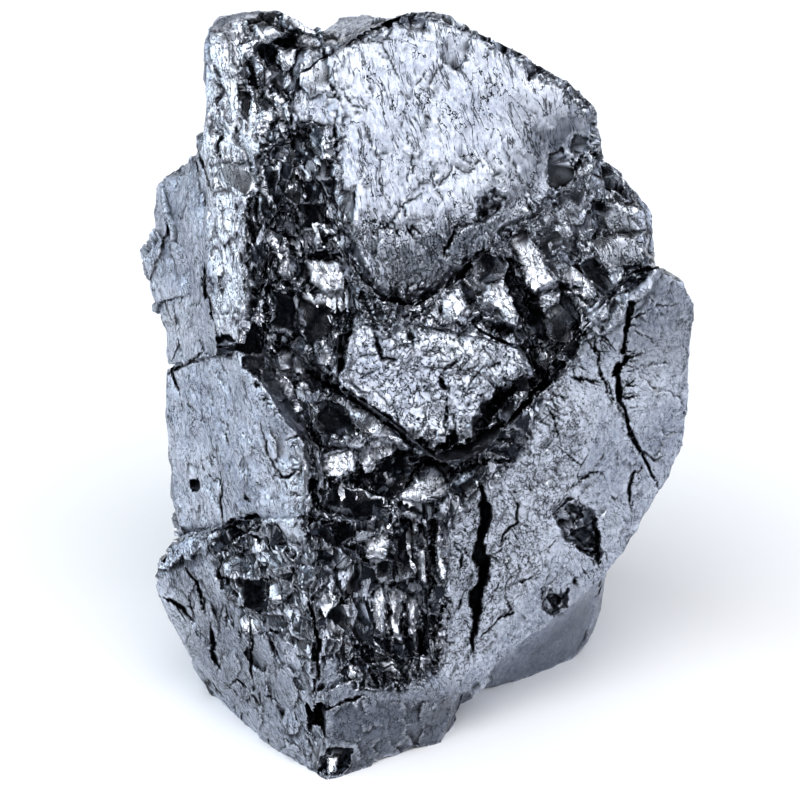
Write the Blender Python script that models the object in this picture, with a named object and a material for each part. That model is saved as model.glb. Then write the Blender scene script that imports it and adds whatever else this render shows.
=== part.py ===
"""A hand specimen of elite shungite: one broken lump of glassy black carbon rock, standing on its flat base.

The lump is laid out on its broad broken face, which leans back from upright. A corner is written as
(across, up, out): millimetres across that face, up it, and out of it. Each named block is the convex
hull of its corners. The core is the rock that shows at the bottom of the fracture hollows, and the
other blocks are the plates and lumps that the fractures left standing on it.
"""

import math

import bmesh
import bpy
from mathutils import Matrix, Vector

MM = 0.001
FACE_LEAN = math.radians(30.0)  # how far the broad face leans back from upright
FACE_CENTRE_HEIGHT = 32.7  # mm, the height of (0, 0, 0) above the surface the lump stands on
BIGGEST = 200.0  # mm, larger than the lump, for the block that trims its base

CORE = (
    # the front, from the top down
    (-13, 33, 1), (-6, 35, 3), (6, 34, 1), (14, 27, 0), (19, 14, 0), (23, 4, -4),
    (-15, 22, 4), (-14, 8, 6), (-5, 10, 6), (-11, -4, 6), (2, -6, 5), (12, 1, 3),
    (-7, -14, 7), (-5, -26, 4), (3, -22, 0), (3, -29, -3), (16, -12, -8),
    # the back, from the top down
    (-11, 35, -4), (8, 33, -6), (18, 20, -12), (23, 2, -18), (21, -12, -24),
    (-20, 18, -10), (-21, 0, -18), (-21, -14, -24), (-4, 20, -17), (2, 0, -29),
    (-6, -12, -36), (14, -10, -33),
    # down to the base
    (17, -18, -38), (-4, -17, -40), (-17, -22, -32), (-16, -30, -14), (12, -28, -18), (0, -34, -8),
)
# Where the rock has broken away below the plates. Each of these is cut out of the core.
HOLLOWS = {
    # the long glassy valley between the column and the crown
    "centre_hollow": (
        (-16, 26, 14), (-4, 26, 14), (-3, 6, 14), (-4, -2, 14), (-8, -6, 14), (-15, -2, 14), (-16, 8, 14),
        (-12.5, 22, 2), (-7.5, 22, 3), (-6.5, 8, 2.5), (-8, -2, 3.5), (-12, 0, 3.5), (-13.5, 10, 2),
    ),
    # the groove between the boss and the wing
    "gully": (
        (23, 14, 12), (26, 9, 12), (14, -6, 12), (9, -4, 12), (13, 4, 12), (19, 12, 12),
        (20.5, 10.5, 0), (14.5, 1, -1.5), (12.5, -3, -0.5), (16, 6, -1),
    ),
    # its lower end, running left under the boss
    "lower_gully": (
        (14, -1, 14), (12, -8, 14), (4, -10, 14), (-8, -13, 14), (-9, -6, 14), (3, -4, 14),
        (11, -4.5, -0.5), (3, -7.6, 0.5), (-5, -9, 2), (3, -6.2, 0.5),
    ),
    # the broken pocket between the foot and the wing
    "under_hollow": (
        (-8, -12, 14), (4, -10, 14), (4.5, -28, 12), (-7, -28, 12),
        (-5.5, -15, 4), (2, -14, 2), (2.5, -25, -3.5), (-5, -26, 0.5),
    ),
    # the pocket of tilted shards under the crown's lower right edge
    "rib_hollow": (
        (0, 10.5, 14), (14, 21, 14), (24, 13, 14), (14, 2, 14), (5, 5, 14),
        (3, 9.6, 4.5), (13, 15.5, 1.5), (20, 11.5, 0.5), (13, 5, 0.5), (7, 7.4, 3),
    ),
}
# The plates and lumps left standing. Each is joined to the core.
# The crown is the big sloping plate at the top.
CROWN = (
    (-6.4, 34.8, 7.8), (-2, 36.0, 7.0), (0, 38.2, 6.2), (3.3, 38.8, 5.8), (8.2, 36.7, 5.7), (16.2, 31.9, 5.3),
    (19.2, 28.7, 5.0), (19.9, 24.6, 5.6), (14.5, 19.3, 8.0), (7, 13.8, 10.1), (0.5, 9.8, 11.8),
    (-3.2, 12.5, 12.2), (-5.5, 21, 10.9), (-8.6, 25.2, 10.3), (-10.8, 27, 9.7), (-10.6, 32, 8.6),
    (-8, 34, -3), (4, 36.5, -4), (14, 29.5, -6), (17.5, 20, -10), (4, 8, -12), (-8, 10, -10),
)
# The low peak that fills the gap between the column and the crown.
SADDLE = (
    (-8.4, 36.8, 2), (-6, 38.4, 1), (-3.4, 38.6, 1), (-1.0, 37.7, 2), (-0.5, 36.4, 4), (-6, 34.8, 6),
    (-8.6, 34, 5), (-7, 34, -4), (-1, 35, -4),
)
# A step lower, the crown's broken right rim.
CROWN_RIM = (
    (18.5, 24.8, 4.4), (22.2, 22.6, 2.4), (22.8, 20.3, 2.2), (24.8, 18.3, 1.6), (25.1, 14.8, 1.4),
    (25.8, 12.0, 0.6), (21.4, 9.6, 3.0), (17.0, 14.0, 5.6), (14.6, 18.5, 5.8), (16.5, 22.5, 5.4),
    (25.2, 9.6, -4.5), (22, 18, -9), (17, 22, -8), (23, 10, -11), (12, 10, -8),
)
# The upright ribbed column at the upper left.
COLUMN = (
    (-18.9, 36.4, 2.6), (-17.4, 37.9, 1.6), (-15.4, 38.1, 1.4), (-12.5, 39.1, 1.6), (-10, 38, 2.6),
    (-7.4, 36.9, 4.0), (-8.6, 30, 7.0), (-12.4, 25.5, 9.0), (-13.2, 20.5, 10.6), (-15.2, 18.0, 10.6),
    (-15.2, 8, 11.4), (-16.2, 5.4, 11.0),
    (-19.4, 25.5, 5.8), (-19.6, 15, 7.4), (-18, 5.4, 9.0), (-19.2, 31, 3.4),
    (-17, 35, -4), (-12, 37, -4), (-10, 20, -8), (-19, 18, -8), (-18, 5, -10),
)
# The smooth side that falls away left of the column, and the small knob on its edge.
FLANK = (
    (-19.4, 25.4, 4.6), (-22.6, 23.4, -2.0), (-24.4, 21, -4.2), (-24.5, 17.2, -4.8), (-23.6, 8, -4.4),
    (-23.2, 3.4, -4.2), (-18.2, 4.6, 7.6), (-19.4, 15, 6.2),
    (-19, 20, -12), (-19, 3, -17), (-14, 12, -10),
)
FLANK_KNOB = (
    (-23.8, 16.2, -2.6), (-25.7, 14, -4.4), (-25.4, 12.4, -4.8), (-24.6, 9.6, -4.6), (-21.4, 10.6, 1.4),
    (-21.6, 14.8, 1.4), (-20, 13, -10), (-21, 9, -8),
)
# The flat plate at mid height on the left.
CHEEK = (
    (-23.3, 2.6, -3.4), (-17.4, 5.0, 6.2), (-15.4, 4.6, 9.4), (-12.4, 0, 10.2), (-9.2, -5, 11.0),
    (-8.0, -8.8, 11.2), (-9.6, -13.4, 10.6), (-16, -13.2, 4.8), (-22.3, -13.6, -4.2), (-22.9, -10, -4.4),
    (-23.4, -3, -4.2),
    (-20, 3, -16), (-20, -14, -22), (-9, 1, 2), (-8, -13, 2),
)
# The block that the lump leans on at the lower left, and the narrow face beside its front edge.
FOOT = (
    (-24.3, -16.2, -4.8), (-22.2, -13.8, -3.6), (-18.4, -12.6, 2.8), (-14.2, -11.8, 8.4), (-9, -11.6, 12.4),
    (-8.2, -20, 9.9), (-7.8, -29, 5.0), (-7.4, -38.3, 0), (-24.5, -19, -6.0), (-23.6, -22.4, -8.2),
    (-22, -25.6, -11.2), (-19.6, -29.4, -16), (-16, -33.0, -10),
    (-20, -16, -24), (-16, -25, -26), (-4, -14, 4), (-2, -30, 0),
)
TOE = (
    (-7.7, -29.2, 4.9), (-7.4, -38.3, 0), (1.8, -28.6, 1.2), (6.3, -29.7, -3.9), (5.0, -33.4, -7.9),
    (3.8, -34.9, -6.0), (-2, -27, 3.4), (5.5, -26.5, -3.6), (0, -26, -12), (7.5, -27, -13),
)
# The crackled plate in the middle.
BOSS = (
    (-6.2, 6.6, 9.8), (-3.2, 7.8, 10.6), (4, 7.4, 11.0), (9.6, 5.8, 10.4), (13.0, 2.0, 9.4),
    (12.6, 0.4, 9.6), (9.8, -3.2, 10.6), (8.0, -5.0, 11.0), (3.6, -5.8, 11.4), (-5.6, 0.8, 11.4),
    (-6.4, 3, 10.6), (-5, 5, -2), (8, 4, -4), (4, -4, -2), (-3, 0, 0),
)
# The large plate at the lower right, and the block behind its lower edge.
WING = (
    (22, 11.4, 7.0), (25.4, 12.6, 5.8), (28.4, 11.2, 3.4), (29.3, 9.6, 2.4), (28.8, 3, -0.4),
    (28.3, -5, -3.8), (25.6, -9.4, -4.6), (22.8, -14.5, -5.2), (20, -18, -5.4), (14, -23, -4.4),
    (9, -26.4, -3.4), (7.0, -29.4, -3.8), (3.8, -29.6, -1.9), (3.2, -20, 3.2), (3.4, -10, 7.6),
    (12.6, -4.2, 5.4), (16.4, 3.6, 7.0),
    (25.2, 13, 1), (23, 13, -2.5), (25, 10, -7), (26.5, -3, -12), (20, -14, -15), (9, -24, -10), (4, -8, -6),
    (14, 4, -6),
)
HEEL = (
    (21.5, -15, -14), (21.7, -17, -18), (21.2, -20.2, -20.2), (19.8, -24.4, -21.0), (18.5, -26.3, -20.6),
    (16.4, -27.2, -19.2), (11.8, -28.9, -16.2), (8.8, -29.7, -14.8), (8, -24, -9), (17, -18, -9),
    (20, -14, -30), (18, -19, -36), (4, -24, -26),
)
# The thick slab on the back, and the broken shoulder beside it.
BACK_SLAB = (
    (-15.5, 16, -20), (-4, 24, -19), (7, 17, -23.5), (8, -2, -34.0), (5.5, -13.5, -40.5), (-7, -15, -40),
    (-15, -17, -35), (-19, -4, -25.5),
    (-15, 18, -12), (-3, 26, -12), (9, 20, -13), (11, -2, -22), (7, -18, -30), (-16, -20, -26), (-19, -2, -12),
)
SHOULDER = (
    (9, 31, -6), (16, 27, -8), (21.5, 17, -12.5), (22.5, 9, -18.5), (15, 6, -24), (8, 11, -24.5),
    (6, 25, -16), (4, 29, -12),
    (9, 28, -2), (20, 14, -4), (20, 6, -10), (6, 8, -12),
)
PLATES = {
    "crown": CROWN,
    "saddle": SADDLE,
    "crown_rim": CROWN_RIM,
    "column": COLUMN,
    "flank": FLANK,
    "flank_knob": FLANK_KNOB,
    "cheek": CHEEK,
    "foot": FOOT,
    "toe": TOE,
    "boss": BOSS,
    "wing": WING,
    "heel": HEEL,
    "back_slab": BACK_SLAB,
    "shoulder": SHOULDER,
}


def clear_scene():
    for thing in list(bpy.data.objects):
        bpy.data.objects.remove(thing, do_unlink=True)


def new_collection(name):
    collection = bpy.data.collections.new(name)
    bpy.context.scene.collection.children.link(collection)
    return collection


def shungite_material():
    """Black glassy carbon with a half-metallic lustre."""
    material = bpy.data.materials.new("shungite")
    material.use_nodes = True
    shader = material.node_tree.nodes["Principled BSDF"]
    shader.inputs["Base Color"].default_value = (0.10, 0.105, 0.12, 1.0)
    shader.inputs["Metallic"].default_value = 0.8
    shader.inputs["Roughness"].default_value = 0.3
    return material


def block(name, corners, collection):
    """The convex hull of the corners, still lying in the broad face's own frame."""
    shape = bmesh.new()
    for corner in corners:
        shape.verts.new(Vector(corner) * MM)
    hull = bmesh.ops.convex_hull(shape, input=shape.verts)
    inside = {v for v in hull["geom_interior"] + hull["geom_unused"] if isinstance(v, bmesh.types.BMVert)}
    bmesh.ops.delete(shape, geom=list(inside), context="VERTS")
    bmesh.ops.recalc_face_normals(shape, faces=shape.faces)
    mesh = bpy.data.meshes.new(name)
    shape.to_mesh(mesh)
    shape.free()
    made = bpy.data.objects.new(name, mesh)
    collection.objects.link(made)
    return made


def as_helper(thing):
    thing.hide_render = True
    thing.display_type = "WIRE"
    return thing


def boolean(thing, other, operation):
    modifier = thing.modifiers.new(other.name, "BOOLEAN")
    modifier.operation = operation
    modifier.object = other
    modifier.solver = "EXACT"


def stand_up(thing):
    """Turns the broad face's frame (across, up, out) into world X, Y and Z, at its height over the base."""
    face_to_world = Matrix(((1, 0, 0), (0, 0, -1), (0, 1, 0))).to_4x4()
    lean = Matrix.Rotation(-FACE_LEAN, 4, "X")
    height = Matrix.Translation((0, 0, FACE_CENTRE_HEIGHT * MM))
    thing.data.transform(height @ lean @ face_to_world)


def applied(thing):
    """The object with its modifiers made into its own mesh."""
    graph = bpy.context.evaluated_depsgraph_get()
    mesh = bpy.data.meshes.new_from_object(thing.evaluated_get(graph))
    thing.modifiers.clear()
    thing.data = mesh
    return thing


def centre_over_base(thing):
    """Moves the mesh so that the middle of its box's underside is the origin."""
    corners = [v.co for v in thing.data.vertices]
    middle = [(min(c[i] for c in corners) + max(c[i] for c in corners)) / 2 for i in (0, 1)]
    thing.data.transform(Matrix.Translation((-middle[0], -middle[1], 0)))


def build():
    clear_scene()
    stone_parts = new_collection("shungite")
    shapes = new_collection("cutters")
    stone = block("core", CORE, shapes)
    hollows = [as_helper(block(name, corners, shapes)) for name, corners in HOLLOWS.items()]
    plates = [as_helper(block(name, corners, shapes)) for name, corners in PLATES.items()]
    for hollow in hollows:
        boolean(stone, hollow, "DIFFERENCE")
    for plate in plates:
        boolean(stone, plate, "UNION")
    applied(stone)
    stand_up(stone)

    bpy.ops.mesh.primitive_cube_add(size=BIGGEST * MM, location=(0, 0, -BIGGEST * MM / 2))
    trim = as_helper(bpy.context.object)
    boolean(stone, trim, "DIFFERENCE")
    applied(stone)
    centre_over_base(stone)

    shapes.objects.unlink(stone)
    stone_parts.objects.link(stone)
    stone.name = "shungite"
    stone.data.materials.clear()
    stone.data.materials.append(shungite_material())
    for shape in hollows + plates + [trim]:
        bpy.data.objects.remove(shape, do_unlink=True)


build()
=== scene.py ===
import math
from itertools import product

import bpy
import numpy as np
from mathutils import Matrix, Vector


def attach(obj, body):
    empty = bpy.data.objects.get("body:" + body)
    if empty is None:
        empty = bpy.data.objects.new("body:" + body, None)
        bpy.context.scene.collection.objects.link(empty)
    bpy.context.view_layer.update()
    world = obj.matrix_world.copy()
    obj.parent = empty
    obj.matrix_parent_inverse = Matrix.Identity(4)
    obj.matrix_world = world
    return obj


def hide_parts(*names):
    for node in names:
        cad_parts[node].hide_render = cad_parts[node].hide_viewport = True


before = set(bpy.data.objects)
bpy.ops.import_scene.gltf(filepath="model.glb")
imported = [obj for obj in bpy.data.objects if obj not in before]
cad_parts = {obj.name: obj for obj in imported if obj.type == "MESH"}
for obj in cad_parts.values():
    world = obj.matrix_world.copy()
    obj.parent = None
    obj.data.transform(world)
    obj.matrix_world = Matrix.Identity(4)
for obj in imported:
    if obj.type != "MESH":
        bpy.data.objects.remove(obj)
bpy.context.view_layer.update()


# --- The rough lump ---------------------------------------------------------------------------------
# A lump of elite shungite, the glassy black carbon rock of one vein. It parts along flat joints into
# plates and breaks between them like thick glass. It starts as the CAD solid, cut fine enough to carve,
# and no joint of it is quite straight.
MM = 0.001
GRID = 0.2  # mm between the points of the mesh while it is carved
SAME = 0.002  # mm, corners of the solid nearer than this are one
MANY = 4096  # more pieces than a broken pattern has each way, to number them by
DRIFT = (0.5, 0.5, 0.12)  # mm that wide humps push it across, up and out
WOBBLE = (0.3, 0.3, 0.015)  # mm that small humps push it across, up and out
WANDER = 0.45  # mm that every edge wanders
JAG = 0.36  # mm between the furthest that a small piece of an edge jumps each way
FACE_CENTRE = Vector((-1.80, -4.857, 32.7))  # mm, the middle of the broad face
FACE_LEAN = math.radians(30)  # how far the broad face leans back from upright

# The carving is laid out on the broad face: millimetres across it, up it and out of it.
face_to_lump = Matrix.Translation(FACE_CENTRE) @ Matrix.Rotation(-FACE_LEAN, 4, "X")
face_to_world = Matrix.Scale(MM, 4) @ face_to_lump @ Matrix(((1, 0, 0), (0, 0, -1), (0, 1, 0))).to_4x4()


def vectors(thing, what):
    """The places or the normals of all the points of an object's mesh, as rows of three."""
    flat = np.empty(len(thing.data.vertices) * 3)
    thing.data.vertices.foreach_get(what, flat)
    return flat.reshape(-1, 3)


def scatter(cells, seed):
    """A repeatable random number from 0 to 1 for each cell of a lattice."""
    # The primes and the shifts only mix the digits well.
    mixed = seed * 2654435761
    for i, prime in enumerate((73856093, 19349663, 83492791)[:cells.shape[-1]]):
        mixed = mixed ^ (cells[..., i] * prime)
    mixed = (mixed ^ (mixed >> 13)) & 0x7FFFFFFF
    mixed = (mixed * 1274126177) & 0x7FFFFFFFFFFFF
    return ((mixed ^ (mixed >> 17)) & 0xFFFFFF) / float(0x1000000)


def humps(points, size, seed):
    """Smooth random height from -1 to 1, its humps size mm apart, which may differ each way."""
    spot = points / np.asarray(size, float)
    cell = np.floor(spot).astype(np.int64)
    part = spot - cell
    part = part * part * (3 - 2 * part)
    height = np.zeros(len(points))
    for corner in product((0, 1), repeat=points.shape[1]):
        share = np.prod(np.where(corner, part, 1 - part), axis=1)
        height += share * scatter(cell + np.array(corner), seed)
    return height * 2 - 1


def rough(points, size, seed, octaves=3):
    """Humps with finer humps on them, each set half the size and height of the last."""
    size = np.asarray(size, float)
    return sum(humps(points, size / 2**i, seed + i) / 2**i for i in range(octaves))


def home_of(spots, size, seed):
    """Which piece of a broken pattern, about size mm across, each spot falls in."""
    scaled = spots / np.asarray(size, float)
    cell = np.floor(scaled).astype(np.int64)
    nearest = np.full(len(spots), np.inf)
    number = np.zeros(len(spots), np.int64)
    ways = range(spots.shape[1])
    for step in product((-1, 0, 1), repeat=len(ways)):
        home = cell + np.array(step)
        centre = home + np.stack([scatter(home, seed + i) for i in ways], axis=1)
        distance = np.linalg.norm(scaled - centre, axis=1)
        name = sum(home[:, i] * MANY ** (len(ways) - 1 - i) for i in ways)
        number = np.where(distance < nearest, name, number)
        nearest = np.minimum(nearest, distance)
    return number


def frayed(points):
    """How far every edge wanders at each point, and how far each small piece of it jumps, in mm."""
    wander = np.stack([rough(points, 1.8, seed, 3) for seed in (161, 171)], axis=1) * WANDER
    piece = home_of(points[:, :2] + wander * 0.6, (0.8, 1.1), 181)
    piece = np.stack([piece, piece], axis=1)
    return wander, (np.stack([scatter(piece, 185), scatter(piece, 187)], axis=1) - 0.5) * JAG


lump = bpy.data.objects.new("lump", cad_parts["shungite"].data.copy())
bpy.context.scene.collection.objects.link(lump)
lump.data.transform(face_to_world.inverted())
bpy.ops.object.select_all(action="DESELECT")
lump.select_set(True)
bpy.context.view_layer.objects.active = lump
bpy.ops.object.mode_set(mode="EDIT")
bpy.ops.mesh.select_all(action="SELECT")
bpy.ops.mesh.remove_doubles(threshold=SAME)
bpy.ops.object.mode_set(mode="OBJECT")
lump.data.remesh_voxel_size = GRID
bpy.ops.object.voxel_remesh()

place = vectors(lump, "co")  # mm, where each point is: across the face, up it and out of it
normal = vectors(lump, "normal")  # the way that the surface faces at each point
wobble = np.stack([rough(place, 2.2, seed, 2) for seed in (101, 111, 121)], axis=1)
drift = np.stack([humps(place, 6.0, seed) for seed in (131, 141, 151)], axis=1)
fray, jag = frayed(place)
place += drift * DRIFT + wobble * WOBBLE


# --- The back and the sides -------------------------------------------------------------------------
# Out of sight of the broad face the lump ends in plain joint faces, stepped where slabs came away and
# broken into flat shards, small ones where it was knocked.
fresh = np.zeros(len(place))  # how much each point is on a chipped edge


def mean_of(rows, number):
    """The mean row of every shard."""
    return np.stack([np.bincount(number, column) for column in rows.T], axis=1) / np.bincount(number)[:, None]


def swing(number, seed):
    """A random number from -1 to 1 for every shard."""
    key = np.stack([np.arange(number.max() + 1)] * 2, axis=1)
    return scatter(key, seed) * 2 - 1


def crush(share, size, lean, seed, step, patches=0.0):
    """Breaks the rock all round into flat shards about size mm across, each facing about as it did.

    share is how far each point follows its shard, from 0 to 1. With patches, the breaks come in patches
    that many mm across, with chipped edges."""
    hit = np.flatnonzero(share > 0)
    share = share[hit]
    if patches:
        share = share * np.clip(humps(place[hit], patches, seed + 9) * 4 - 0.6, 0, 1)
        fresh[hit] = np.maximum(fresh[hit], share)
    side = np.abs(normal[hit]).argmax(1)
    side = side * 2 + (normal[hit, side] > 0)
    number = home_of(place[hit] + wobble[hit] * 0.5, size, seed) * 6 + side
    number = np.unique(number, return_inverse=True)[1]
    tilt = np.stack([swing(number, seed + i) for i in (5, 6, 7)], axis=1) * lean
    facing = mean_of(normal[hit], number) + tilt
    facing /= np.linalg.norm(facing, axis=1)[:, None]
    off = ((mean_of(place[hit], number)[number] - place[hit]) * facing[number]).sum(1)
    off += swing(number, seed + 8)[number] * step
    # No point moves far, or the smallest shards would stand up as spikes.
    most = min(1.5, 0.35 * size[0])
    place[hit] += (share * np.clip(off, -most, most))[:, None] * facing[number]


steep = np.clip((0.5 - normal[:, 2]) / 0.3, 0, 1)  # 0 in front, 1 where the surface turns well away
crush(steep * 0.7, (6.0, 9.0, 6.0), 0.14, 501, 0.4)
crush(steep * 0.5, (2.6, 4.0, 2.6), 0.12, 511, 0.12)
crush(steep * 0.9, (1.4, 2.4, 1.4), 0.40, 521, 0.20, patches=9.0)
crush(steep * 0.6, (0.9, 1.6, 0.9), 0.12, 541, 0.04)


# --- The crown --------------------------------------------------------------------------------------
# The big sloping plate at the top is one joint face, covered in fine marks that run down it. Its lower
# end curls under in a net of cracks, and its lower right edge is scooped, smooth as the inside of a shell.
before = place[:, 2].copy()  # how far out each point was before the face was carved
front = np.flatnonzero(normal[:, 2] > 0.05)  # the points that the broad face looks at
dark_lines_and_painted_shade = np.zeros(len(place))  # how dark each point is painted: the dark line of a crack, and painted shade in cracks, gashes, rib hollows and hollow lines
facets = []  # the outline and the lean of every shard made one by one
FRAYED = 1.0  # mm, more than any edge wanders and jumps
STEEPEST = 1.4  # the steepest slope of its own that a shard keeps
FURTHEST = 1.6  # mm that a point moves at most where the rock shatters
FACET_FURTHEST = 2.5  # mm that a point moves at most in a shard made one by one
CHIPPED = 0.2  # mm that the small shards of a chipped edge stand out or in at most
SPREAD = 50  # degrees between the short cracks of a fringe that lean furthest apart


def off_leg(spots, start, end):
    """How far spots are from the straight leg between two corners, and what part of the way along it."""
    edge, away = end - start, spots - start
    part = np.clip(away @ edge / (edge @ edge), 0, 1)
    return np.hypot(*(away - part[:, None] * edge).T), part


def depth_inside(spots, outline):
    """How far inside an outline on the face each spot is, in mm, and less than 0 outside it."""
    corners = np.array(outline, float)
    inside = np.zeros(len(spots), bool)
    gap = np.full(len(spots), np.inf)
    for start, end in zip(corners, np.roll(corners, -1, axis=0)):
        gap = np.minimum(gap, off_leg(spots, start, end)[0])
        edge, away = end - start, spots - start
        spans = (start[1] > spots[:, 1]) != (end[1] > spots[:, 1])
        inside ^= spans & (away[:, 0] < edge[0] * away[:, 1] / (edge[1] or 1.0))
    return np.where(inside, gap, -gap)


def near_box(corners, margin):
    """The points of the front within margin mm of the box round some places on the face."""
    low, high = np.min(corners, axis=0) - margin, np.max(corners, axis=0) + margin
    return front[((place[front, :2] > low) & (place[front, :2] < high)).all(axis=1)]


def on_front(outline, wander=1.0):
    """The points of the front inside an outline, whose edge comes out frayed, and how deep inside each is."""
    near = near_box(outline, FRAYED)
    depth = depth_inside(place[near, :2] + fray[near] * wander + jag[near], outline)
    return near[depth > 0], depth[depth > 0]


def level(outline, heights, how, blend=0.8, share=1.0):
    """Brings the front inside an outline to a flat level. heights is one height or one for each corner.

    how is set, fill (only what is lower comes up) or cut (only what is higher comes down)."""
    hit, depth = on_front(outline)
    corners = np.array(outline, float)
    sheet = np.column_stack([corners, np.ones(len(corners))])
    slopes = np.linalg.lstsq(sheet, np.broadcast_to(heights, len(corners)).astype(float), rcond=None)[0]
    aim = place[hit, :2] @ slopes[:2] + slopes[2] - place[hit, 2]
    aim = {"set": aim, "fill": np.maximum(aim, 0), "cut": np.minimum(aim, 0)}[how]
    place[hit, 2] += aim * share * np.clip(depth / blend, 0, 1)


def curl(outline, reach, drop):
    """Lets a plate fall away towards the inside of an outline, first slowly and then steeply."""
    hit, depth = on_front(outline, 0.3)
    place[hit, 2] -= drop * np.minimum(depth / reach, 1) ** 2


def along(spots, angle):
    """How far spots lie across and along a direction, given in degrees clockwise from straight up."""
    turn = math.radians(angle)
    across = spots[:, 0] * math.cos(turn) - spots[:, 1] * math.sin(turn)
    return np.stack([across, spots[:, 0] * math.sin(turn) + spots[:, 1] * math.cos(turn)], axis=1)


def shards(hit, size, lean, seed, step, loose=0.5, keep=0.0, angle=0):
    """The level that some points come to, and the lift it gives them, if they break into flat shards.

    size is about how big the shards are in mm, and angle turns the long ones. Most of them lean slightly,
    and up to lean. loose is how far their edges wander, and keep how much of its own slope each keeps."""
    number = home_of(along(place[hit, :2] + wobble[hit, :2] * loose, angle), size, seed)
    number = np.unique(number, return_inverse=True)[1]
    slope = np.stack([swing(number, seed + i) for i in (5, 6)], axis=1)
    slope = slope * np.abs(slope) * lean
    middle = mean_of(place[hit], number)
    if keep:
        # The slope across and up of the plane that lies best through the points of every shard.
        x, y, z = (place[hit] - middle[number]).T
        xx, xy, yy, xz, yz = (np.bincount(number, one) for one in (x * x, x * y, y * y, x * z, y * z))
        spread = (xx * yy - xy**2 + 1e-6)[:, None]
        own = np.stack([xz * yy - yz * xy, yz * xx - xz * xy], axis=1) / spread
        slope += np.clip(own, -STEEPEST, STEEPEST) * keep
    away = place[hit, :2] - middle[number, :2]
    lift = (away * slope[number]).sum(1) + swing(number, seed + 7)[number] * step
    return middle[number, 2] + lift, lift


def shatter(outline, size, lean, seed, step, flat=0.85, blend=0.5, patches=0.0, angle=0):
    """Breaks the front inside an outline into flat shards about size mm across, that face straighter out.

    With patches, the breaks come in patches that many mm across."""
    hit, depth = on_front(outline)
    aim, _ = shards(hit, size, lean, seed, step, keep=0.5, angle=angle)
    share = flat * np.clip(depth / blend, 0, 1)
    if patches:
        share *= np.clip(humps(place[hit], patches, seed + 9) * 4, 0, 1)
    place[hit, 2] += share * np.clip(aim - place[hit, 2], -FURTHEST, FURTHEST)


def flake(outline, size, lean, seed, step, blend=0.5, angle=0):
    """Lifts and tilts small flakes of a plate, and leaves its own shape under them."""
    hit, depth = on_front(outline)
    _, lift = shards(hit, size, lean, seed, step, loose=0.8, angle=angle)
    place[hit, 2] += lift * np.clip(depth / blend, 0, 1)


def facet(outline, lean, lift):
    """One flat shard: its slope across and up, and how far it stands out of what was there."""
    facets.append((outline, lean))
    hit, _ = on_front(outline, 0.35)
    middle = place[hit].mean(0)
    aim = middle[2] + lift + (place[hit, :2] - middle[:2]) @ np.array(lean)
    place[hit, 2] += np.clip(aim - place[hit, 2], -FACET_FURTHEST, FACET_FURTHEST)


def near_route(route, reach):
    """The points of the front within reach mm of a route, how far off it and how far along it they are."""
    route = np.array(route, float)
    near = near_box(route, reach + FRAYED)
    spots = place[near, :2] + fray[near] * 0.5 + jag[near]
    gap = np.full(len(near), np.inf)
    gone = np.zeros(len(near))
    done = 0.0
    for start, end in zip(route, route[1:]):
        distance, part = off_leg(spots, start, end)
        length = math.hypot(*(end - start))
        gone = np.where(distance < gap, done + part * length, gone)
        gap = np.minimum(gap, distance)
        done += length
    close = gap < reach
    return near[close], gap[close], gone[close] / done


def chip(route, reach, size, lean, seed):
    """Breaks the edge of a plate into small shards, within reach mm of a route along it."""
    hit, gap, _ = near_route(route, reach)
    aim, _ = shards(hit, size, lean, seed, CHIPPED, keep=1.0)
    share = np.clip((reach - gap) / (reach * 0.4), 0, 1)
    place[hit, 2] += (aim - place[hit, 2]) * share
    fresh[hit] = np.maximum(fresh[hit], share)


def crack(route, width, depth):
    """A crack along a route on the face, width and depth in mm at its middle, fading out at its ends."""
    hit, gap, gone = near_route(route, width)
    taper = np.clip(np.minimum(gone, 1 - gone) * 4, 0.3, 1)
    gape = np.clip(1 - gap / (width * 0.4 * taper + 0.06), 0, 1)
    place[hit, 2] -= depth * taper * np.minimum(gape * 1.6, 1)
    # The crack is painted dark: its own dark line, with painted shade down in it.
    dark_lines_and_painted_shade[hit] = np.maximum(dark_lines_and_painted_shade[hit], np.clip(gape * 2.5, 0, 1))


def fringe(route, count, length, angle, seed, width=0.14):
    """Short cracks that start along a route. angle is how they run, in degrees clockwise from straight up."""
    route = np.array(route, float)
    for k in range(count):
        chance = [scatter(np.array([k, i]), seed) for i in range(5)]
        leg = int(chance[0] * (len(route) - 1))
        start = route[leg] + (route[leg + 1] - route[leg]) * chance[1]
        turn = math.radians(angle + SPREAD * (chance[2] - 0.5))
        way = np.array([math.sin(turn), math.cos(turn)])
        side = np.array([way[1], -way[0]]) * (chance[3] - 0.5) * 0.5
        reach = length * (0.4 + 0.6 * chance[4])
        bend = start + way * reach * 0.5 + side * reach * 0.5
        crack([start, bend, start + way * reach], width, width * 1.6)


CROWN = [(-10.2, 34), (-8.2, 35), (-5.5, 36.2), (0, 39), (5.5, 38.4), (10, 36), (13.4, 34.4),
    (16.7, 31.8), (19.6, 28.7), (20, 24), (17.2, 21), (15.3, 20), (13.4, 18.5), (10.7, 16), (7, 12.4),
    (3, 10), (0, 9.2), (-2.2, 10), (-4.4, 13.8), (-5.5, 17.5), (-6.2, 21), (-6.6, 23.5), (-7, 27.2),
    (-10.2, 27.4)]
CROWN_FOOT = [(-7, 19.5), (0, 18.5), (7, 20), (14, 23), (16, 17), (16, 7), (10, 4), (0, 4), (-7, 7)]
level([(-11, 34.5), (-7, 35), (-5.5, 27), (-10.2, 27.2)], (7.0, 8.2, 9.6, 9.2), "set", blend=0.2)
flake([(-11, 34.5), (-7, 35), (-3.4, 28.8), (-5.5, 27), (-10.2, 27.2)],
    (1.2, 2.0), 0.10, 405, step=0.05, blend=0.2)
curl(CROWN_FOOT, 9.0, 2.2)
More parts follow.
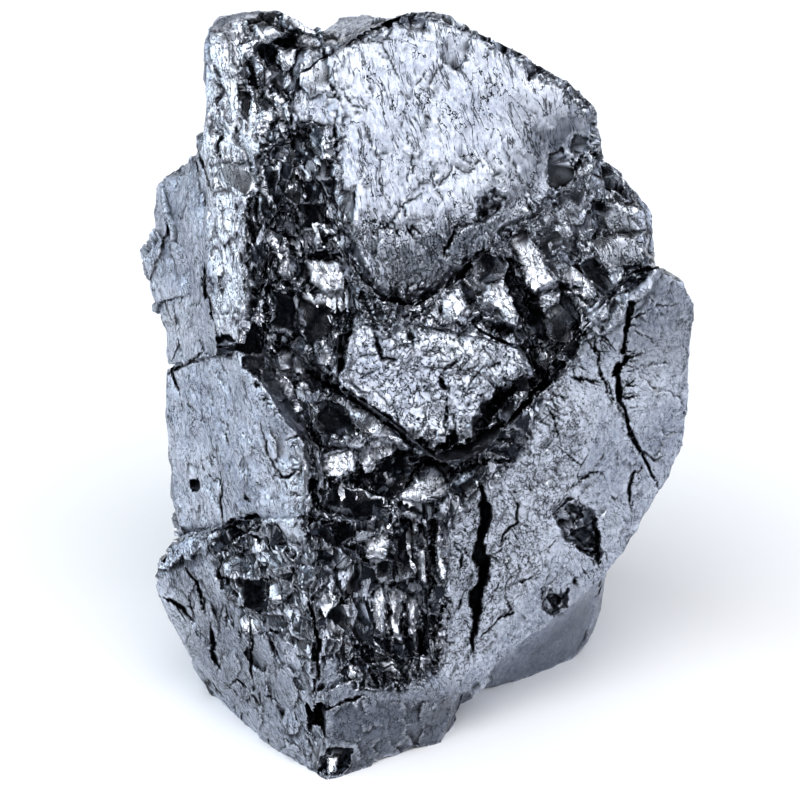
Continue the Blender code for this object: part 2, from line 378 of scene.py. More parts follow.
curl([(12, 28), (18, 29), (20, 24), (17.2, 21), (13.4, 18.5), (10.7, 16), (8, 12.4), (4, 10.4), (2, 12),
    (5, 15), (9, 18.8), (11, 23)], 6.0, 1.6)
flake(CROWN, (1.4, 3.5), 0.05, 401, step=0.02)
flake([(-6, 18.5), (0, 16.8), (7, 18.5), (12, 20.5), (13, 18.5), (10.7, 16), (7, 12.4), (3, 10),
    (0, 9.2), (-2.2, 10), (-4.4, 13.8)], (1.0, 1.8), 0.25, 411, step=0.06, blend=2.0)
facet([(4.1, 36.2), (7.3, 36.6), (6.8, 34.4), (5.4, 32.7), (4.3, 34)], (-0.2, -0.1), -0.2)
facet([(11.9, 33.8), (13.4, 34.3), (14.4, 33), (13, 31.8)], (-0.7, 0.2), -0.5)
facet([(0.5, 38.6), (3.2, 38.8), (2.5, 37), (1, 37.2)], (0.3, 0.4), -0.3)
facet([(-3.5, 35.6), (-1.7, 35.5), (-0.8, 37), (-2, 37.4), (-3.2, 36.6)], (0.1, -0.1), 0.3)
CROWN_RIM = [(-7, 36), (-4.8, 35.6), (-2.5, 37), (0, 38), (3, 38.4), (5.5, 37.6), (7.5, 36.6),
    (10, 35.4), (13.4, 33.8), (16.5, 31.4), (19, 28.4), (19.8, 25)]
chip(CROWN_RIM, 0.8, (1.2, 0.9), 0.9, 431)
chip([(-6.4, 27), (-6.4, 23.5), (-6, 21), (-5.2, 17.5), (-4.4, 13.8), (-2.2, 10.2), (0, 9.5), (3, 10.2),
    (5.2, 11.2), (8, 13.8)], 0.8, (0.9, 1.2), 0.6, 441)
for route, width, depth in (
    ([(-8.2, 35.5), (-7.5, 33.8), (-7.2, 32.2), (-6.4, 30.8), (-6.3, 30)], 0.22, 0.5),
    ([(-1.7, 35.4), (-1.2, 33.8), (-0.8, 33), (-0.1, 31.7)], 0.14, 0.12),
    ([(-3.6, 35.5), (-2.6, 35.6), (-1.7, 35.4)], 0.12, 0.12),
    ([(-7.8, 30.8), (-6.6, 29.9), (-5.4, 30.3), (-4.8, 29.2), (-3.4, 28.8)], 0.10, 0.12),
    ([(-6.4, 28.7), (-6.5, 27.2), (-6.2, 25), (-6.3, 23.2)], 0.22, 0.5),
    ([(-3.6, 29.2), (-3.4, 27.6), (-3.1, 26.2), (-2.4, 25), (-2.2, 23), (-1.8, 21.5),
        (-1.2, 19.5)], 0.14, 0.12),
    ([(1.7, 31.5), (2.3, 32), (3, 32.9)], 0.1, 0.12),
    ([(-0.1, 30.8), (1.1, 29.8), (1.7, 29.9), (2.1, 28.9), (2.8, 28.2)], 0.12, 0.12),
    ([(2.8, 24.1), (3.3, 22.5), (3.6, 21), (5, 22.7)], 0.12, 0.12),
    ([(8.8, 24.9), (7.8, 23.8), (6.7, 22.6), (5.4, 23.2), (4, 21.4)], 0.12, 0.12),
    ([(3.1, 23.2), (3.6, 20.7), (4.2, 19.6)], 0.14, 0.12),
    ([(0.4, 28), (1.4, 25), (1, 23), (2.4, 20.4)], 0.14, 0.12),
    ([(0, 19.5), (0.5, 17.8), (1.4, 16.4)], 0.22, 0.5),
    ([(-2.8, 16.8), (-1.4, 17.2), (-0.4, 18.6), (0.2, 19.4), (2, 20.4)], 0.16, 0.12),
    ([(1.4, 16.4), (2.6, 15), (3.6, 14.4)], 0.16, 0.12),
    ([(5.1, 16.9), (4.7, 15.7), (4.6, 13.8)], 0.4, 0.8),
    ([(5.1, 16.9), (6.2, 17.4), (7.8, 17.8), (8.4, 19)], 0.25, 0.4),
    ([(8.4, 15.9), (8.2, 14.4), (8.5, 13)], 0.3, 0.5),
    ([(10.5, 25), (11.2, 23.4), (12, 21.6)], 0.14, 0.12),
    ([(2, 30.4), (3.2, 31.6), (4.6, 33.8)], 0.12, 0.12),
    ([(-5.5, 13.8), (-3.8, 12.4), (-2.8, 10.4)], 0.4, 0.7),
):
    crack(route, width, depth)
fringe([(-2.2, 10.2), (0, 9.5), (3, 10.2), (6, 12), (10, 15.5)], 20, 3.2, 10, 661, 0.12)
fringe([(13, 18.5), (15.6, 20.4), (18.5, 23)], 14, 2.4, -10, 665)
fringe([(-4, 18.5), (0, 17.5), (5, 18.5), (10, 20.5)], 14, 2.4, 165, 669, 0.12)
facet([(8.2, 20.6), (9.6, 21), (10.3, 19.8), (9.6, 18.6), (8.4, 17.4), (7.8, 18.4)], (0.0, 0.1), -0.9)
shatter([(7.4, 21), (10, 21.6), (11, 19.8), (10, 18), (8.4, 16.8), (7.2, 18.2)],
    (0.7, 0.9), 1.2, 415, step=0.25)


# --- The ribbed column ------------------------------------------------------------------------------
# The upright column at the upper left is a bundle of ribs along the vein. Its head is broken open.
# A shard that faces straight out looks black, one that leans back to the lamp white, one turned aside grey.
BLACK, WHITE, PALE, GREY = (0.0, 0.0), (0.03, -0.31), (0.02, -0.20), (-0.25, 0.15)


def ribs(outline, angle, spacing, length, height, seed):
    """Fine ridges that run along a direction on the face, given in degrees clockwise from straight up."""
    hit, depth = on_front(outline)
    ridge = rough(along(place[hit, :2] + wobble[hit, :2] * 0.4, angle), (spacing, length), seed)
    place[hit, 2] += height * ridge * np.clip(depth / 0.6, 0, 1)
    # Painted shade in the hollows between the ridges.
    dark_lines_and_painted_shade[hit] = np.maximum(dark_lines_and_painted_shade[hit], np.clip(-ridge * 3 - 3.0, 0, 0.9) * np.clip(height * 4 - 0.4, 0, 1))


COLUMN = [(-18.9, 37), (-15.5, 38), (-13.8, 36), (-16, 34), (-14.8, 31), (-13.2, 28.8), (-13.8, 25),
    (-14.2, 22.5), (-15.4, 19.5), (-15.4, 15), (-14.8, 11), (-13.8, 5.5), (-13, 3), (-15.4, 3.6),
    (-17.2, 4.5), (-18.5, 10), (-18.8, 15), (-19.2, 20), (-20, 25), (-19.3, 28.5)]
CAVITY = [(-16.4, 37.5), (-13.8, 38.5), (-10, 38), (-7, 36.5), (-7.8, 35), (-10.4, 34), (-10.4, 27.4),
    (-13, 26.6), (-13.8, 27), (-15.5, 31), (-16.2, 34)]
level([(-16, 36), (-13.8, 37.8), (-10, 37), (-8.2, 35.5), (-9.4, 33.4), (-10, 30.5), (-13, 29),
    (-15, 31.2)], (4.0, 3.0, 3.0, 3.5, 4.5, 5.0, 5.5, 5.0), "cut", blend=1.2)
ribs(COLUMN, -10, 1.2, 9.0, 0.26, 201)
flake(COLUMN, (0.9, 5.0), 0.35, 211, step=0.15, angle=-10)
shatter(CAVITY, (2.0, 2.6), 0.9, 221, flat=0.9, step=0.5)
level([(-19.5, 23.2), (-16.5, 23.5), (-14.5, 22.5), (-13.8, 20.4), (-16, 18.5), (-18.5, 17.5)],
    (7.6, 9.8, 10.6, 10.8, 10.4, 8.4), "set", share=0.7)
chip([(-13.8, 27), (-14.2, 22.5), (-15.6, 19.5), (-15.4, 15), (-14.8, 11), (-13.8, 5.5),
    (-12.8, 2.8)], 0.7, (0.7, 2.4), 0.9, 231)
for outline, lean, lift in (
    ([(-18.9, 36.4), (-17.5, 36.7), (-16.3, 32.7), (-16.1, 30.6), (-15.5, 27.9), (-16.7, 27.7),
        (-17.5, 31.2), (-18.9, 34)], (0.45, -0.25), 0.3),
    ([(-15.3, 33.8), (-14.6, 33.2), (-14.2, 31), (-15, 31.4)], BLACK, -0.9),
    ([(-13.4, 31.4), (-12.9, 30.8), (-12.8, 28.8), (-13.3, 29.6)], PALE, 0.2),
    ([(-18.7, 22), (-17.8, 23.2), (-15.6, 23.3), (-14.2, 22.2), (-13.8, 20.6), (-15.4, 20.4),
        (-17.2, 20.8), (-18.4, 21)], (0.10, -0.30), 0.2),
    ([(-14.5, 37.4), (-13.4, 37.7), (-12.4, 36.9), (-11.2, 36.9), (-12.1, 36.1), (-13.3, 35.5),
        (-14.2, 36.1)], WHITE, 0.5),
    ([(-12.7, 35.8), (-10.7, 36.6), (-10.1, 35.5), (-10.3, 35.1), (-11.8, 35.2),
        (-12.5, 35.4)], BLACK, -0.9),
    ([(-12.1, 34.9), (-10.3, 35.1), (-10.6, 33.3), (-11.5, 32.2), (-12.1, 33.9)], WHITE, 0.5),
    ([(-14.2, 34.8), (-13.6, 34), (-13.4, 33), (-14, 33.7)], WHITE, 0.2),
    ([(-16.1, 33.1), (-15.4, 33.4), (-14.8, 32.5), (-15.2, 31.8), (-16, 32.2)], GREY, 0.3),
    ([(-16.3, 31.5), (-15.4, 31.5), (-14.8, 30), (-14.9, 27.9), (-15.5, 28.2)], BLACK, -1.4),
    ([(-14.8, 31), (-13.3, 31.2), (-13.9, 29.4), (-14.5, 30.1)], BLACK, -0.8),
    ([(-12.7, 31.5), (-11.5, 29.7), (-11.3, 27.3), (-12.1, 27.6), (-12.5, 29.4)], PALE, 0.3),
    ([(-13.1, 29.4), (-12.4, 27.6), (-13.7, 25.8), (-14.2, 27)], WHITE, 0.3),
    ([(-12.4, 38.9), (-11.2, 38.7), (-7.6, 36.5), (-8.5, 36.3), (-11.5, 37.8)], PALE, 0.2),
    ([(-10.1, 36.8), (-8, 36.4), (-7.7, 34.6), (-9.1, 35.1), (-10, 36)], PALE, -0.2),
    ([(-11.9, 25.9), (-10.9, 27), (-9.1, 26.2), (-8.4, 24), (-10.4, 23.2), (-12.7, 24)], BLACK, -0.5),
    ([(-10, 33.4), (-7.3, 34.2), (-6.8, 31), (-9, 30), (-10, 31)], (0.0, -0.34), 0.2),
):
    facet(outline, lean, lift)


# --- The smooth flank and the cheek -----------------------------------------------------------------
# Left of the column the rock falls away in a smooth side with shallow ribs, one old joint face. Below it
# is the cheek, a flat plate that a few deep cracks have parted from the rock around it.
FLANK = [(-25, 21), (-20, 25), (-18.8, 18.5), (-18.6, 10), (-16.8, 5), (-23.4, 3.4), (-24.2, 10),
    (-25.8, 14)]
CHEEK = [(-23.4, 3.4), (-16.8, 5), (-13, 2.8), (-9.7, -2), (-8.2, -4.8), (-8.8, -10), (-10, -12),
    (-15, -11.4), (-19.4, -13.4), (-22.8, -14.5), (-23.4, -6)]
ribs(FLANK, 0, 1.6, 9.0, 0.12, 281)
flake(FLANK, (2.2, 6.0), 0.25, 285, step=0.12)
flake(CHEEK, (2.0, 3.0), 0.10, 291, step=0.05)
for route, width, depth in (
    ([(-23.6, 2.6), (-21.4, 3.8), (-19.2, 4.6)], 0.45, 0.8),
    ([(-18.8, 4.4), (-17.2, 5), (-16.7, 6.2)], 0.3, 0.5),
    ([(-17.8, -7.1), (-17.8, -10), (-17.6, -13)], 0.2, 0.4),
    ([(-11.2, -4), (-9.8, -3.4), (-9, -3.6)], 0.2, 0.3),
    ([(-13.8, -2), (-13.2, -5.2), (-11.4, -8), (-10, -11.2)], 0.16, 0.3),
    ([(-19.8, 13.8), (-19.4, 11), (-18, 7)], 0.45, 0.7),
    ([(-23, 3.4), (-22.6, 1.4), (-22, 0.4)], 0.35, 0.5),
    ([(-20, 24.8), (-19.4, 23.2), (-18.8, 21)], 0.35, 0.5),
    ([(-20.4, 24), (-20, 22.4)], 0.3, 0.5),
    ([(-12.6, -7.6), (-10.8, -7.4), (-9.6, -6.6)], 0.25, 0.4),
):
    crack(route, width, depth)
facet([(-18.2, 6.3), (-17.2, 6.6), (-16.4, 5.8), (-16.8, 4.8), (-18, 4.9)], (0.6, 0.3), -0.8)
facet([(-15.3, 4.2), (-13.8, 4.8), (-12.7, 3.8), (-13.2, 2.4), (-14.8, 2.6)], (-0.2, 0.25), 0.4)
facet([(-21, -8), (-20.2, -7.8), (-19.9, -9), (-20.8, -9.3)], (0.5, 0.3), -0.5)
fringe([(-15, 2.8), (-12.5, 0), (-10, -3.6), (-9.8, -7), (-10, -10.5)], 20, 1.6, -80, 671, 0.10)
fringe([(-22, 0), (-17, -2), (-20, -7), (-14, -10)], 16, 1.6, 150, 675, 0.12)
chip([(-13.8, 2.8), (-11, -0.5), (-8.4, -4.4), (-9.4, -6.8), (-8.6, -10), (-9.8, -12.2)], 0.8,
    (0.8, 1.6), 0.9, 241)


# --- The foot and the toe ---------------------------------------------------------------------------
# The foot is the dark block at the lower left, which the lump stands on. A bright fibrous ledge crosses
# its shoulder, its head is splintered, and deep gashes run down it. The toe is the low strip beside it.
def sloping(outline, across, up, height):
    """The heights at an outline's corners of a level with these slopes and height mm at the face's middle."""
    return [across * x + up * y + height for x, y in outline]


FOOT = [(-24, -16), (-19.4, -13.4), (-16, -19), (-11, -25), (-9, -30), (-8.2, -37.4), (-13, -34.8),
    (-20, -28.5), (-23.5, -22.5)]
FOOT_TOP = [(-19.4, -13.4), (-14.8, -11.5), (-10.5, -14.4), (-8.2, -17), (-7.8, -22), (-9.4, -29),
    (-10.4, -25), (-13, -23.2), (-16.3, -21), (-18.2, -18)]
TOE = [(-8.2, -30), (-3.3, -29), (1, -29.2), (6.2, -30), (5, -33.2), (-0.5, -35.7), (-7, -37.8),
    (-8.2, -37.4)]
ribs(FOOT, -20, 1.4, 6.0, 0.2, 255)
flake(FOOT, (1.8, 3.2), 0.35, 251, step=0.18)
flake(TOE, (2.2, 2.0), 0.25, 257, step=0.1)
TOE_HOLLOW = [(-7.3, -34.8), (-5.8, -34.6), (-4.6, -34.9), (-4.8, -36.4), (-5.8, -37.4), (-7.2, -37.6),
    (-8, -37)]
WEDGE = [(-24.4, -16.9), (-23.2, -14.6), (-20.3, -12.9), (-17.6, -12.7), (-18.8, -14.6), (-21.6, -16.1),
    (-24, -17.2)]
level(WEDGE, sloping(WEDGE, 0.75, -0.27, 11.885), "set", blend=0.1)
ribs(WEDGE, 60, 0.6, 5.0, 0.12, 259)
fringe([(-23, -20), (-20, -19), (-16, -22), (-12, -24)], 16, 3.0, 170, 681)
fringe([(-20, -28), (-16, -29), (-11, -30), (-9, -34)], 14, 2.2, 150, 685)
shatter(FOOT_TOP, (1.5, 2.2), 1.2, 261, flat=0.85, step=0.5)
shatter(FOOT_TOP, (0.8, 1.2), 1.0, 265, flat=0.6, step=0.2, patches=2.5)
facet([(-19.3, -13.4), (-16.8, -12), (-14.2, -11.3), (-13.6, -12), (-15.6, -13.4), (-17.4, -14.8),
    (-18.8, -15.4)], BLACK, -0.5)
facet([(-16.4, -18.1), (-15, -17.6), (-13.2, -17.8), (-12.9, -20), (-13.8, -21.2), (-15.2, -21.2),
    (-16, -19.8)], BLACK, -0.9)
facet([(-13.4, -12.2), (-12.4, -12.4), (-10.8, -14), (-11.8, -15.2), (-13, -14.6)], BLACK, -0.4)
facet([(-12, -17.2), (-10.3, -16.6), (-10.2, -18.3), (-11.6, -18)], BLACK, -0.6)
facet([(-14.8, -13.6), (-14, -13.8), (-13.6, -14.8), (-14.2, -15)], WHITE, 0.4)
facet([(-16, -21.8), (-14.8, -21.2), (-13.8, -21.6), (-13.8, -23), (-14.6, -23.8),
    (-15.8, -23.2)], PALE, 0.3)
facet([(-13, -17.4), (-12.2, -17.6), (-11.6, -20), (-12.4, -20.6), (-13.1, -19.8)], WHITE, 0.3)
facet([(-17.8, -16), (-16, -15.2), (-14.8, -16.6), (-16.2, -18), (-17.4, -17.8)], (0.2, -0.4), 0.3)
facet([(-13.6, -14.8), (-11.6, -15.2), (-10.8, -17), (-12.4, -17.2)], (0.3, -0.35), 0.3)
facet(TOE_HOLLOW, BLACK, -1.2)
facet([(-7.6, -35.8), (-6.7, -35.8), (-6.3, -37.2), (-7.2, -37.6)], WHITE, 0.2)
chip([(-10.4, -14), (-8.8, -18), (-8.2, -24), (-8.4, -30), (-8.1, -37)], 0.9, (0.8, 1.6), 0.9, 271)
for route, width, depth in (
    ([(-19, -22.4), (-18.8, -25), (-18.2, -27.6)], 0.6, 0.9),
    ([(-23.8, -19.6), (-22.2, -20.6), (-20.7, -22.2)], 0.5, 0.8),
    ([(-8.3, -31), (-5.8, -30.2), (-3.3, -29.5)], 0.45, 0.8),
    ([(-9, -18.6), (-8.3, -23.4), (-8.3, -27.2), (-8.6, -30.1)], 0.4, 0.8),
    ([(-15, -21.8), (-14.8, -24), (-15, -26), (-14.6, -29)], 0.25, 0.5),
    ([(-17.4, -29), (-16.4, -28), (-15, -29)], 0.25, 0.4),
    ([(-13.4, -33.5), (-13, -35.6)], 0.2, 0.4),
    ([(-22, -16.6), (-20, -19), (-19.6, -21.2)], 0.4, 0.6),
):
    crack(route, width, depth)


# --- The glassy hollows -----------------------------------------------------------------------------
# Between the plates the rock broke away in flat glassy shards. Most of them face straight out, and
# show black; the few that lean to the light show white.
VALLEY = [(-13.8, 27.2), (-10.4, 27.4), (-7.5, 27.2), (-6.6, 25), (-6.2, 21), (-5.2, 17.5), (-4.2, 13.8),
    (-3.4, 11.5), (-2, 10.2), (-4.5, 7.8), (-5.6, 5), (-5.8, 1.5), (-8.2, 2.2), (-10, 2.8), (-11.2, 5),
    (-13, 4.8), (-14.2, 7), (-14.8, 11), (-15.4, 15), (-16, 18.5), (-15, 20), (-14.2, 22.5)]
RUGGED = [(-4.8, 13.8), (-2.2, 10), (0, 9.2), (3, 10), (6.5, 12), (9, 13.8), (10, 11.5), (10, 6.3),
    (7, 7.8), (4, 7), (0, 7.8), (-1.5, 6.2), (-3.4, 8.8), (-5, 11)]
SLABS = [(8, 13.2), (10.7, 16), (13.4, 18.5), (15.3, 20), (17.2, 21.2), (20, 23.5), (22.5, 22.8),
    (25, 17.5), (25, 13.8), (21, 12.5), (20, 10), (17.8, 7), (14.5, 5.5), (12.4, 6.5), (10, 6.3), (9, 10)]
GULLY = [(19.7, 7.4), (18, 5.4), (16.7, 3.5), (15.9, 2.5), (15.3, 1), (13.9, -0.7), (12.7, -2.5),
    (13, -4.3), (11.5, -5.5), (3.7, -5.2), (1.2, -4), (3.7, -4.7), (6.9, -3.7), (7.7, -2.5), (9.1, 0),
    (10.7, 1), (13.2, 2.2), (12.8, 4.8), (14.5, 6), (17.5, 7.8)]
FISSURED = [(-11.2, 2.8), (-8.8, 2.2), (-5.5, 1.5), (-2.9, 0.3), (-1.8, -1.2), (1.2, -4), (-0.8, -5.2),
    (-5, -5.2), (-8.2, -4.6), (-10, -1)]
LOWER = [(-9.4, -4), (-5, -5), (-0.8, -4.5), (3.7, -6.2), (12, -4), (13, -4.6), (6.2, -11), (4.6, -12.7),
    (4.3, -14.2), (5.1, -17.3), (4.7, -22), (4, -26), (0, -29.2), (-4, -29), (-7.5, -25.5), (-8.3, -21),
    (-8.8, -16), (-10, -12), (-8.8, -10.4), (-8.1, -9), (-9.4, -6.5)]
level(VALLEY, 7.2, "fill", blend=1.2)
level(FISSURED, 8.6, "fill", blend=1.0)
level([(-6.2, 15), (-2.5, 12.8), (0, 12), (4, 13), (8.4, 16.8), (14, 15), (13, 10), (12.6, 6.2),
    (4, 6.4), (0, 7), (-1.5, 5.8), (-5, 7)],
    (9.8, 9.9, 9.9, 9.6, 9.0, 7.8, 8.0, 8.8, 9.9, 10.2, 10.2, 10.0), "fill", blend=0.6)
level([(10.6, 17.2), (14.4, 21.8), (19, 25.2), (24, 18.5), (25, 14), (21, 12.5), (16, 11), (12, 10)],
    (8.4, 6.8, 5.2, 3.6, 3.2, 4.6, 5.4, 7.0), "fill", blend=0.7)
level([(9, 11), (12, 10), (16, 11), (21, 12.5), (20, 10), (17.5, 5.5), (14.5, 2.8), (12.5, 5.5)],
    (8.6, 7.0, 5.4, 4.6, 3.8, 1.8, 1.4, 4.0), "fill", blend=1.0)
BRIDGE = [(18.6, 4.8), (22.2, 7.8), (25.2, 10.8), (26.8, 13.8), (23.6, 16.2), (19.6, 13.8), (17.2, 10.8),
    (16.6, 7)]
level(BRIDGE, sloping(BRIDGE, 0.21, -0.21, 4.064), "fill", blend=0.5)
shatter(VALLEY, (2.6, 3.6), 0.6, 301, step=0.5)
shatter(VALLEY, (0.8, 2.4), 0.9, 311, flat=0.8, step=0.2, patches=3.0, angle=-14)
shatter(FISSURED, (1.4, 2.8), 0.9, 315, flat=0.8, step=0.3)
CROWN_BREAK = [(18.8, 25.4), (20.4, 25), (21, 23.2), (18, 20), (14.8, 17.4), (12, 15), (9.6, 12),
    (7.4, 10.4), (4, 9.2), (3.2, 10.2), (6.2, 12.4), (8.4, 14.8), (10.8, 17.6), (13.6, 20), (16.2, 21.8)]
shatter(CROWN_BREAK, (1.5, 2.4), 0.6, 323, flat=0.9, step=0.3, angle=-32)
shatter(CROWN_BREAK, (0.8, 1.1), 0.7, 327, flat=0.7, step=0.15)
shatter(RUGGED, (1.3, 1.7), 0.7, 321, flat=0.6, step=0.35)
shatter(RUGGED, (0.8, 1.0), 0.6, 325, flat=0.5, step=0.10, patches=2.0)
shatter(SLABS, (1.6, 4.5), 0.6, 331, flat=0.8, step=0.5, angle=-32)
shatter(SLABS, (0.7, 2.0), 0.6, 335, flat=0.6, step=0.10, patches=2.5, angle=-32)
shatter(LOWER, (2.4, 3.2), 0.7, 341, step=0.4)
shatter(LOWER, (0.8, 1.8), 0.9, 351, flat=0.8, step=0.15, patches=3.0)
